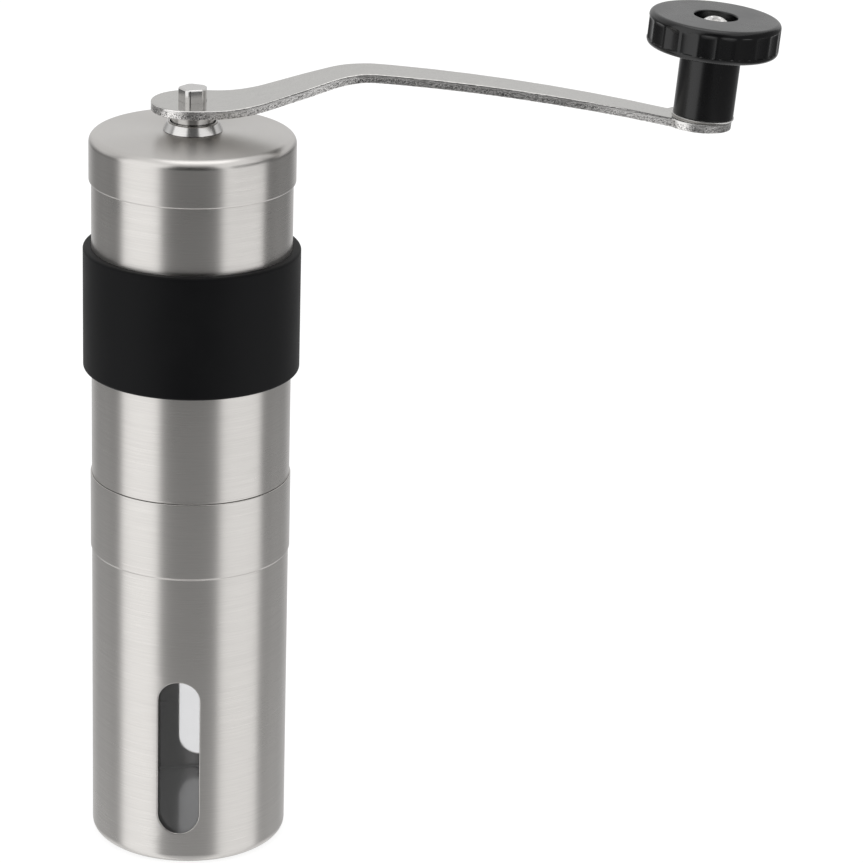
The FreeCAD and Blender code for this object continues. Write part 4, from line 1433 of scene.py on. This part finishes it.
class GrindAdjuster(Assembly):
    """The thumb wheel under the burrs and the nut in it."""

    body = "adjuster"

    def build(self) -> None:
        """Dress both parts."""
        self.dress(MATT_BLACK, "adjuster_dial")
        self.dress(BRASS, "dial_nut")


@dataclass
class Crank(Assembly):
    """The bent plate arm, with the washer and the screw that carry the knob."""

    body = "crank"
    thickness: float = 2.1
    hub_radius: float = 9.75
    boss_radius: float = 8.0
    boss_back: float = 1.2
    foot_x: float = 10.7
    foot_bend: float = 41.0
    crest_x: float = 36.8
    crest_rise: float = 8.35
    crest_bend: float = 30.0
    end_back: float = 7.9
    end_bend: float = 12.0
    long_bow: float = 1.4
    bow_parts: int = 8
    bend_steps: int = 12
    bend_window: float = 1.2
    root_half: float = 9.55
    shoulder_x: float = 26.0
    shoulder_half: float = 7.4
    waist_x: float = 38.5
    waist_half: float = 5.1
    tip_half: float = 4.55
    plan_round: float = 15.0
    station_step: float = 0.6
    end_parts: int = 40
    across_parts: int = 8
    edge_steps: int = 4
    wall_parts: int = 8
    face_rings: int = 3
    top_round: float = 0.28
    under_round: float = 0.14
    tear: float = 0.05
    tear_rate: Spot = (1.3, 1.3, 1.6)
    tear_start: Span = (0.25, 0.5)
    tear_end: Span = (1.0, 0.85)
    undercut: float = 0.17
    ramp_start: Span = (1.0, 7.0)   # from the shaft
    ramp_end: Span = (2.0, -7.0)    # from the crest
    far_start: Span = (32.0, 16.0)  # back from the knob's axis
    far_end: Span = (6.0, 9.0)
    shaft_play: float = 0.06
    washer_radius: float = 7.3
    washer_height: float = 0.4
    washer_slant: float = 0.16
    screw_radius: float = 2.5
    screw_round: float = 0.25
    head_radius: float = 3.75
    head_height: float = 2.5
    head_edge: float = 0.5
    head_rise: float = 0.25
    dome_inset: float = 0.12
    dome_parts: int = 14
    serrations: int = 40
    serration_steps: int = 6
    groove_start: Span = (0.5, 1.6)
    groove_end: float = 0.5
    groove_depth: float = 0.15

    def build(self) -> None:
        """Make the plate, the washer and the screw."""
        self.boss = joint_place("knob_spin")
        self.reach = self.boss.translation.x / MM
        self.boss_level = self.boss.translation.z / MM
        axis = self.boss.col[2]
        self.boss_slope = axis.x / axis.z
        self.hub_top = node_box("shaft_collar")[1].z + self.thickness
        self.line = self.side_line()
        self.plate()
        self.washer()
        self.screw()

    def side_line(self) -> list[Point]:
        """The plate's upper face seen from the side, from the hub's end to past the boss.

        Returns:
            Points as distance from the shaft and height.
        """
        crest = Vector((self.crest_x, self.hub_top + self.crest_rise))
        end = Vector((self.reach - self.end_back, self.boss_level + self.boss_slope * self.end_back))
        far = self.boss_radius * 2
        corners = [Corner(-self.hub_radius * 2, self.hub_top),
                   Corner(self.foot_x, self.hub_top, self.foot_bend),
                   Corner(crest.x, crest.y, self.crest_bend)]
        for part in evenly(0, 1, self.bow_parts)[1:-1]:
            spot = crest.lerp(end, part)
            corners.append(Corner(spot.x, spot.y + 4 * self.long_bow * part * (1 - part)))
        corners += [Corner(end.x, end.y, self.end_bend),
                    Corner(self.reach + far, self.boss_level - self.boss_slope * far)]
        return softened(corners, closed=False, steps=self.bend_steps)

    def on_plate(self, across: float, side: float, depth: float) -> Spot:
        """A point of the plate.

        Args:
            across: The distance from the shaft, seen from above.
            side: The distance from the middle line.
            depth: How far below the upper face, square to it.

        Returns:
            The point in the frame.
        """
        window = self.bend_window
        start, end = self.height_at(across - window), self.height_at(across + window)
        slope = (end - start) / (2 * window)
        square = math.hypot(1, slope)
        return across + slope * depth / square, side, self.height_at(across) - depth / square

    def height_at(self, across: float) -> float:
        """Height of the plate's upper face at a distance from the shaft.

        Args:
            across: The distance from the shaft.

        Returns:
            The height.
        """
        for (start, low), (end, high) in pairwise(self.line):
            if across <= end:
                return low + (high - low) * (across - start) / (end - start)
        return self.line[-1][1]

    def upper_side(self) -> list[Point]:
        """One side of the plate's outline, from the hub's end to the boss's end.

        Returns:
            Points as distance from the shaft and from the middle line.
        """
        boss_x = self.reach - self.boss_back
        slant = math.atan((self.shoulder_half - self.root_half) / self.shoulder_x)
        root_angle = math.acos(self.root_half * math.cos(slant) / self.hub_radius) + slant
        hub_end = (self.hub_radius * math.sin(root_angle), self.hub_radius * math.cos(root_angle))
        boss_turn = math.pi - math.asin(self.tip_half / self.boss_radius)
        boss_start = (boss_x + self.boss_radius * math.cos(boss_turn), self.tip_half)
        bar = softened([
            Corner(*hub_end), Corner(self.shoulder_x, self.shoulder_half, self.plan_round),
            Corner(self.waist_x, self.waist_half, self.plan_round), Corner(*boss_start)], closed=False)
        hub = [(-self.hub_radius * math.cos(turn), self.hub_radius * math.sin(turn))
               for turn in evenly(0, math.pi / 2 + root_angle, self.end_parts)]
        boss = [(boss_x + self.boss_radius * math.cos(turn), self.boss_radius * math.sin(turn))
                for turn in evenly(boss_turn, 0, self.end_parts)]
        return hub[:-1] + subdivided(bar, self.station_step) + boss[1:]

    def plate(self) -> None:
        """The bent plate, its cut edge torn below a burnished band, with the shaft's hole in its hub."""
        upper = self.upper_side()
        upper[0], upper[-1] = (upper[0][0], 0.0), (upper[-1][0], 0.0)
        outline = upper + [(across, -side) for across, side in reversed(upper[1:-1])]
        count = len(outline)
        normals = []
        for index, _ in enumerate(outline):
            along = Vector(outline[(index + 1) % count]) - Vector(outline[index - 1])
            normals.append(Vector((-along.y, along.x)).normalized())
        draft = Draft()
        wall = evenly(self.top_round, self.thickness - self.under_round, self.wall_parts)[1:-1]
        levels = [(self.top_round + GUARD, 0.0), *rolled(self.top_round, self.edge_steps)]
        levels += [(0.0, depth) for depth in wall]
        levels += [(inset, self.thickness - drop)
                   for inset, drop in reversed(rolled(self.under_round, self.edge_steps))]
        levels.append((self.under_round + GUARD, self.thickness))
        rings = [self.edge_ring(draft, outline, normals, inset, depth) for inset, depth in levels]
        for number, (one, two) in enumerate(pairwise(rings)):
            draft.strip(one, two, zone=int(self.face_rings <= number < len(rings) - self.face_rings))
        for ring, depth in ((rings[0], 0.0), (rings[-1], self.thickness)):
            self.fill_face(draft, ring, len(upper), depth)
        plate = draft.make("crank_plate", [PLATE, PLATE_EDGE])
        cut_through(plate, self.shaft_hole())
        self.fit(plate, PLATE, "crank_arm")

    def edge_ring(self, draft: Draft, outline: Sequence[Point], normals: Sequence[Vector],
                  inset: float, depth: float) -> list[int]:
        """One ring of vertices round the plate's edge.

        Args:
            draft: The plate's mesh.
            outline: The plate's outline seen from above.
            normals: The outline's outward directions.
            inset: How far inside the outline the ring lies.
            depth: How far below the upper face it lies.

        Returns:
            The ring's vertices, marked with their depth.
        """
        share = depth / self.thickness
        roughness = self.tear * smooth_step(share, *self.tear_start) * smooth_step(share, *self.tear_end)
        spots = []
        for (across, side), outward in zip(outline, normals):
            place = [part * rate for part, rate in zip((across, side, depth), self.tear_rate)]
            torn = roughness * noise.noise(Vector(place))
            slant = self.undercut_at(across) * max(0.0, depth - self.top_round)
            spot = Vector((across, side)) - outward * (inset + slant + abs(torn))
            spots.append(self.on_plate(spot.x, spot.y, depth))
        ring = draft.add(spots)
        draft.marks.update((vertex, share) for vertex in ring)
        return ring

    def undercut_at(self, across: float) -> float:
        """How much the cut edge slants inward below, which differs along the arm.

        Args:
            across: The distance from the shaft.

        Returns:
            How far in the edge runs for each millimetre down.
        """
        ramp = smooth_step(across, *self.ramp_start)
        ramp *= smooth_step(across, *(self.crest_x + mark for mark in self.ramp_end))
        far = smooth_step(across, *(self.reach - mark for mark in self.far_start))
        far *= smooth_step(across, *(self.reach - mark for mark in self.far_end))
        return self.undercut * max(ramp, far)

    def fill_face(self, draft: Draft, ring: Sequence[int], half: int, depth: float) -> None:
        """Fill the plate's upper or lower face inside its edge.

        Args:
            draft: The plate's mesh.
            ring: The face's border, which starts at the hub's end.
            half: How many of its vertices are on the first side, both ends included.
            depth: How far below the upper face it lies.
        """
        near = list(ring[:half])
        far = [ring[0], *reversed(ring[half:]), ring[half - 1]]
        lines = [near]
        for part in range(1, self.across_parts):
            share = part / self.across_parts
            inner = draft.add(Vector(draft.spots[one]).lerp(Vector(draft.spots[two]), share)
                              for one, two in zip(near[1:-1], far[1:-1]))
            draft.marks.update((vertex, depth / self.thickness) for vertex in inner)
            lines.append([near[0], *inner, near[-1]])
        lines.append(far)
        for one, two in pairwise(lines):
            draft.strip(one, two, closed=False)

    def shaft_hole(self) -> bpy.types.Object:
        """The five-sided cutter for the hub's hole, its corners broken as the shaft's are.

        Returns:
            The cutter.
        """
        corner = CRANK_END.corner + self.shaft_play
        reach = corner - CRANK_END.corner_break
        half = math.pi / CRANK_END.sides
        broken = half - math.acos(corner * math.cos(half) / reach)
        turns = [turn + side for turn in all_round(CRANK_END.sides, math.radians(CRANK_END.turn))
                 for side in (-broken, broken)]
        draft = Draft()
        low, high = (draft.add(on_ring(reach, turn, height) for turn in turns)
                     for height in (self.hub_top - 2 * self.thickness, self.hub_top + self.thickness))
        draft.strip(low, high, zone=1)
        draft.face(low, 1)
        draft.face(high, 1)
        return draft.make("hole_cutter", [PLATE, PLATE_EDGE])

    def washer(self) -> None:
        """The thin washer under the knob."""
        draft = Draft()
        outer, height = self.washer_radius, self.washer_height
        draft.turn(softened([
            Corner(self.screw_radius, 0), Corner(outer - self.washer_slant, 0, 0.05),
            Corner(outer, height, 0.06), Corner(self.screw_radius, height)], closed=True),
            all_round(SMALL_SEGMENTS))
        self.fit(draft.make("stem_washer", [DULL_STEEL], self.boss), DULL_STEEL, "knob_washer")

    def screw(self) -> None:
        """The screw that the knob turns on, its domed head finely serrated."""
        crown = self.screw_top() + self.head_rise
        head = crown - self.head_rise - self.head_height

        def domed(angle: float, across: float, up: float) -> Point:
            """Fine radial grooves on the dome, none at its middle.

            Args:
                angle: The angle round the axis.
                across: The distance from the axis.
                up: The height.

            Returns:
                Where the point goes, as distance and height.
            """
            share = smooth_step(across, *self.groove_start)
            share *= smooth_step(across, self.head_radius, self.head_radius - self.groove_end)
            groove = 0.5 + 0.5 * math.cos(self.serrations * angle)
            return across, up - self.groove_depth * groove * share * (up > head)

        bulge = crown - head - self.head_edge
        ball = (self.head_radius ** 2 + bulge ** 2) / (2 * bulge)
        dome = []
        for across in evenly(self.head_radius - self.dome_inset, 0, self.dome_parts):
            dome.append(Corner(across, crown - ball + math.sqrt(ball * ball - across * across)))
        corners = [Corner(0, -self.thickness), Corner(self.screw_radius, -self.thickness, self.screw_round),
                   Corner(self.screw_radius, head), Corner(self.head_radius, head, 0.1),
                   Corner(self.head_radius, head + self.head_edge - 0.05, 0.08), *dome]
        draft = Draft()
        angles = all_round(self.serrations * self.serration_steps)
        draft.turn(softened(corners, closed=False), angles, domed)
        self.fit(draft.make("knob_pin", [POLISHED], self.boss), POLISHED, "knob_screw")

    def screw_top(self) -> float:
        """Height of the screw's crown above the boss, square to it."""
        high = node_box("knob_screw")[1] * MM
        return (high.z - self.boss.translation.z) / self.boss.col[2].z / MM


@dataclass
class KnobTurner(Assembly):
    """The black knob: a stem and a thick disc with shallow hollows round its rim."""

    body = "knob"
    foot: float = 0.4
    height: float = 23.6
    stem_radius: float = 7.05
    disc_radius: float = 15.35
    disc_height: float = 7.9
    edge_round: float = 1.2
    hollows: int = 21
    hollow_radius: float = 9.0
    hollow_depth: float = 0.34
    hollow_margin: float = 1.3
    hollow_start: tuple[float, ...] = (0.0, 0.07, 0.14, 0.3)
    hollow_end: tuple[float, ...] = (0.5, 0.3, 0.15, 0.0)
    hollow_marks: tuple[float, ...] = (0.0, 0.25, 0.5, 0.72, 0.9)
    start_fade: float = 0.14
    end_fade: float = 0.5
    side_rows: int = 3
    side_inset: float = 1.0
    ridge_bevel: float = 0.06
    round_steps: int = 8
    foot_round: float = 0.3
    stem_fillet: float = 0.45
    recess_radius: float = 5.1
    recess_depth: float = 3.0
    recess_edge: float = 0.35
    recess_round: float = 0.25
    bore: float = 2.54

    def build(self) -> None:
        """Make the knob on its joint's axis."""
        top = self.foot + self.height
        disc = top - self.disc_height
        self.low_end = disc + self.hollow_margin
        self.high_end = top - self.hollow_margin
        rows = [self.low_end + up for up in self.hollow_start]
        rows += evenly(self.low_end + self.side_inset, self.high_end - self.side_inset, self.side_rows)
        rows += [self.high_end - down for down in self.hollow_end]
        recess = top - self.recess_depth
        corners = [
            Corner(self.bore, self.foot), Corner(self.stem_radius, self.foot, self.foot_round),
            Corner(self.stem_radius, disc, self.stem_fillet),
            Corner(self.disc_radius, disc, self.edge_round),
            *(Corner(self.disc_radius, row) for row in rows),
            Corner(self.disc_radius, top, self.edge_round),
            Corner(self.recess_radius, top, self.recess_edge),
            Corner(self.recess_radius, recess, self.recess_round), Corner(self.bore, recess)]
        draft = Draft()
        draft.turn(softened(corners, closed=True, steps=self.round_steps), self.angles(), self.hollowed)
        piece = draft.make("knob_moulding", [GLOSS_BLACK], joint_place("knob_spin"))
        self.fit(piece, GLOSS_BLACK, "crank_knob")

    def half_chord(self) -> float:
        """Half the width of one hollow, as an angle at the knob's axis.

        Returns:
            The angle in radians.
        """
        away = self.disc_radius + self.hollow_radius - self.hollow_depth
        squares = self.disc_radius ** 2 + away ** 2 - self.hollow_radius ** 2
        return math.acos(squares / (2 * self.disc_radius * away))

    def angles(self) -> list[float]:
        """Angles that follow the hollows and the ridges between them.

        Returns:
            The angles in radians, in order.
        """
        half, pitch = self.half_chord(), 2 * math.pi / self.hollows
        bevel = self.ridge_bevel / self.disc_radius
        inside = [half * part for part in self.hollow_marks] + [half - bevel]
        outside = [half + bevel, pitch / 2]
        marks = sorted({-mark for mark in inside[1:] + outside[:1]} | set(inside + outside))
        return [number * pitch + mark for number in range(self.hollows) for mark in marks]

    def hollowed(self, angle: float, across: float, up: float) -> Point:
        """Sink the disc's side at the hollows, between their lower and upper ends.

        Args:
            angle: The angle round the axis.
            across: The distance from the axis.
            up: The height.

        Returns:
            Where the point goes, as distance and height.
        """
        if across < self.disc_radius - TINY or not self.low_end <= up <= self.high_end:
            return across, up
        pitch = 2 * math.pi / self.hollows
        off = (angle + pitch / 2) % pitch - pitch / 2
        if abs(off) >= self.half_chord():
            return across, up
        away = self.disc_radius + self.hollow_radius - self.hollow_depth
        reach = away * math.cos(off) - math.sqrt(self.hollow_radius ** 2 - (away * math.sin(off)) ** 2)
        share = smooth_step(up, self.low_end, self.low_end + self.start_fade)
        share *= smooth_step(up, self.high_end, self.high_end - self.end_fade)
        return across + (reach - across) * share, up


# ---------------------------------------------------------------- studio

@dataclass(frozen=True)
class Softbox:
    """An upright lit panel of the studio.

    Its two sides stand at degrees round from the front. Each has a soft edge and may lean out above.
    """

    start: float
    end: float
    start_blur: float
    end_blur: float
    strength: float
    start_lean: float = 0.0
    end_lean: float = 0.0


@dataclass
class Studio:
    """Plain pale floor, a soft light tent and the camera.

    The tent's strengths of light change over spans of rise, in degrees above the horizon, and over
    spans of turn, in degrees away from the front.
    """

    lens: float = 158.2
    sensor: float = 36.0
    far_clip: float = 20.0
    camera_spot: tuple[float, float, float] = (-0.00449, -0.8473, 0.4169)
    pitch: float = 0.354
    yaw: float = 0.07284
    roll: float = -0.030
    floor_size: float = 6.0
    floor_grey: float = 0.3
    floor_roughness: float = 0.9
    floor_glow: float = 0.8
    boxes: tuple[Softbox, ...] = (
        Softbox(-87, -37, 6, 9, 1.61, end_lean=12),
        Softbox(34, 88, 10, 4, 1.41, start_lean=-9))
    lean_rise: Span = (-12, 22)
    front_low: float = 0.91
    front_high: float = 0.02
    front_rise: Span = (-39, -11.5)
    front_top: float = 0.8
    front_top_rise: Span = (28, 50)
    side_low: float = 1.22
    side_high: float = 0.15
    side_rise: Span = (-40, -12)
    side_turn: Span = (88, 118)
    rear: float = 0.9
    rear_turn: Span = (132, 170)
    back_high: float = 1.0
    back_turn: Span = (72, 115)
    back_rise: Span = (-8, 13)
    overhead: float = 1.15
    overhead_rise: Span = (42, 62)
    through: float = 1.0
    backdrop: float = 6.0
    panel_size: float = 0.9
    panel_power: float = 3.0
    panel_spot: tuple[float, float, float] = (0.1, 0.15, 1.5)
    flag_gap: float = 0.02
    flag_reach: float = 0.16
    flag_margin: float = 0.02
    flag_slant: float = 0.02
    flag_grey: float = 0.02
    flag_roughness: float = 1.0
    flag_gloss: float = 0.5
    flag_glow: float = 0.15

    def build(self) -> None:
        """Set up everything round the object."""
        self.floor()
        self.world()
        self.overhead_panel()
        self.flag()
        self.camera()
        scene = bpy.context.scene
        scene.view_settings.view_transform = "Standard"
        scene.view_settings.look = "None"
        log.info("studio: floor, world, light and camera")

    @staticmethod
    def sheet(name: str, corners: Sequence[Spot], material: bpy.types.Material) -> bpy.types.Object:
        """A flat sheet with four corners.

        Args:
            name: The sheet's name.
            corners: Its corners in order, in metres.
            material: Its material.

        Returns:
            The new object.
        """
        mesh = bpy.data.meshes.new(name)
        mesh.from_pydata(corners, [], [(0, 1, 2, 3)])
        mesh.materials.append(material)
        piece = bpy.data.objects.new(name, mesh)
        bpy.context.scene.collection.objects.link(piece)
        return piece

    @staticmethod
    def plain(name: str, grey: float, roughness: float, gloss: float, glow: float) -> bpy.types.Material:
        """A plain grey surface with a white glow.

        Args:
            name: The material's name.
            grey: How bright its surface is.
            roughness: How matt it is.
            gloss: How strongly it reflects.
            glow: How much light it gives off.

        Returns:
            The material.
        """
        material = bpy.data.materials.new(name)
        material.use_nodes = True
        Graph(material.node_tree).feed(material.node_tree.nodes["Principled BSDF"], {
            "Base Color": (grey, grey, grey, 1), "Roughness": roughness, "Specular IOR Level": gloss,
            "Emission Color": (1, 1, 1, 1), "Emission Strength": glow})
        return material

    def floor(self) -> None:
        """A pale floor that reflections don't show."""
        half = self.floor_size / 2
        floor = self.sheet(
            "floor", [(-half, -half, 0), (half, -half, 0), (half, half, 0), (-half, half, 0)],
            self.plain("pale_floor", self.floor_grey, self.floor_roughness, 0.0, self.floor_glow))
        floor.visible_glossy = False

    def world(self) -> None:
        """A light tent: dim in front, lit panels at both sides, bright behind and above."""
        world = bpy.data.worlds.new("studio")
        world.use_nodes = True
        world.node_tree.nodes.clear()
        graph = Graph(world.node_tree)
        ray = graph.node("ShaderNodeTexCoord").outputs["Generated"]
        parts = graph.node("ShaderNodeSeparateXYZ", {0: ray}).outputs
        forward = graph.math("MULTIPLY", parts["Y"], -1.0)
        turn = graph.math("MULTIPLY", graph.math("ARCTAN2", parts["X"], forward), 180 / math.pi)
        rise = graph.math("MULTIPLY", graph.math("ARCSINE", parts["Z"]), 180 / math.pi)
        away = graph.math("ABSOLUTE", turn)
        front = graph.math("ADD", graph.remap(rise, *self.front_rise, self.front_low, self.front_high),
                           graph.remap(rise, *self.front_top_rise, 0.0, self.front_top, smooth=True))
        side = graph.remap(rise, *self.side_rise, self.side_low, self.side_high)
        light = graph.mix(graph.remap(away, *self.side_turn, smooth=True), front, side)
        light = graph.mix(graph.remap(away, *self.rear_turn, smooth=True), light, self.rear)
        back = graph.math("MULTIPLY", graph.remap(away, *self.back_turn, smooth=True),
                          graph.remap(rise, *self.back_rise, smooth=True))
        light = graph.mix(back, light, self.back_high)
        for box in self.boxes:
            light = graph.mix(self.inside(graph, box, turn, rise), light, box.strength)
        light = graph.mix(graph.remap(rise, *self.overhead_rise, smooth=True), light, self.overhead)
        path = graph.node("ShaderNodeLightPath").outputs
        light = graph.mix(path["Is Transmission Ray"], light, self.through)
        light = graph.mix(path["Is Camera Ray"], light, self.backdrop)
        background = graph.node("ShaderNodeBackground", {"Strength": light})
        graph.node("ShaderNodeOutputWorld", {"Surface": background.outputs[0]})
        bpy.context.scene.world = world

    def inside(self, graph: Graph, box: Softbox, turn: Socket, rise: Socket) -> Socket:
        """Where a lit panel shows in the tent.

        Args:
            graph: The world's tree.
            box: The panel.
            turn: Degrees round from the front.
            rise: Degrees above the horizon.

        Returns:
            One inside the panel, falling to nothing across its soft sides.
        """
        sides = []
        for edge, blur, lean in ((box.start, box.start_blur / 2, box.start_lean),
                                 (box.end, -box.end_blur / 2, box.end_lean)):
            past = graph.math("SUBTRACT", turn, graph.remap(rise, *self.lean_rise, 0.0, lean))
            sides.append(graph.remap(past, edge - blur, edge + blur, smooth=True))
        return graph.math("MULTIPLY", *sides)

    def flag(self) -> None:
        """A black card beside the knob that keeps the right panel off it, seen only in reflections."""
        low, high = (corner * MM for corner in node_box("crank_knob"))
        near = high.x + self.flag_gap
        far = near - self.flag_slant
        bottom, top = low.z - self.flag_margin, high.z + self.flag_margin
        card = self.sheet(
            "black_flag", [(near, high.y, bottom), (near, high.y, top),
                           (far, -self.flag_reach, top), (far, -self.flag_reach, bottom)],
            self.plain("black_card", self.flag_grey, self.flag_roughness, self.flag_gloss, self.flag_glow))
        card.visible_camera = card.visible_diffuse = card.visible_shadow = card.visible_transmission = False

    def overhead_panel(self) -> None:
        """A weak square panel above the object."""
        light = bpy.data.lights.new("overhead_panel", "AREA")
        light.shape = "SQUARE"
        light.size = self.panel_size
        light.energy = self.panel_power
        panel = bpy.data.objects.new("overhead_panel", light)
        panel.location = self.panel_spot
        bpy.context.scene.collection.objects.link(panel)

    def camera(self) -> None:
        """The camera, a long lens that looks down on the object from in front."""
        data = bpy.data.cameras.new("camera")
        data.lens = self.lens
        data.sensor_width = self.sensor
        data.clip_end = self.far_clip
        camera = bpy.data.objects.new("camera", data)
        level = Vector((math.cos(self.yaw), -math.sin(self.yaw), 0))
        ahead = Vector((math.sin(self.yaw) * math.cos(self.pitch),
                        math.cos(self.yaw) * math.cos(self.pitch), -math.sin(self.pitch)))
        down = ahead.cross(level)
        right = level * math.cos(self.roll) + down * math.sin(self.roll)
        lower = down * math.cos(self.roll) - level * math.sin(self.roll)
        camera.matrix_world = Matrix((
            (right.x, -lower.x, -ahead.x, self.camera_spot[0]),
            (right.y, -lower.y, -ahead.y, self.camera_spot[1]),
            (right.z, -lower.z, -ahead.z, self.camera_spot[2]),
            (0, 0, 0, 1)))
        bpy.context.scene.collection.objects.link(camera)
        bpy.context.scene.camera = camera


def main() -> None:
    """Build the sub-assemblies in order."""
    logging.basicConfig(level=logging.INFO, format="%(name)s %(message)s")
    for part in (Studio(), CatchCup(), BeanHopper(), Lid(), DriveShaft(), BurrCarriage(), GrindAdjuster(),
                 Crank(), KnobTurner()):
        part.build()


if __name__ == "__main__":
    main()
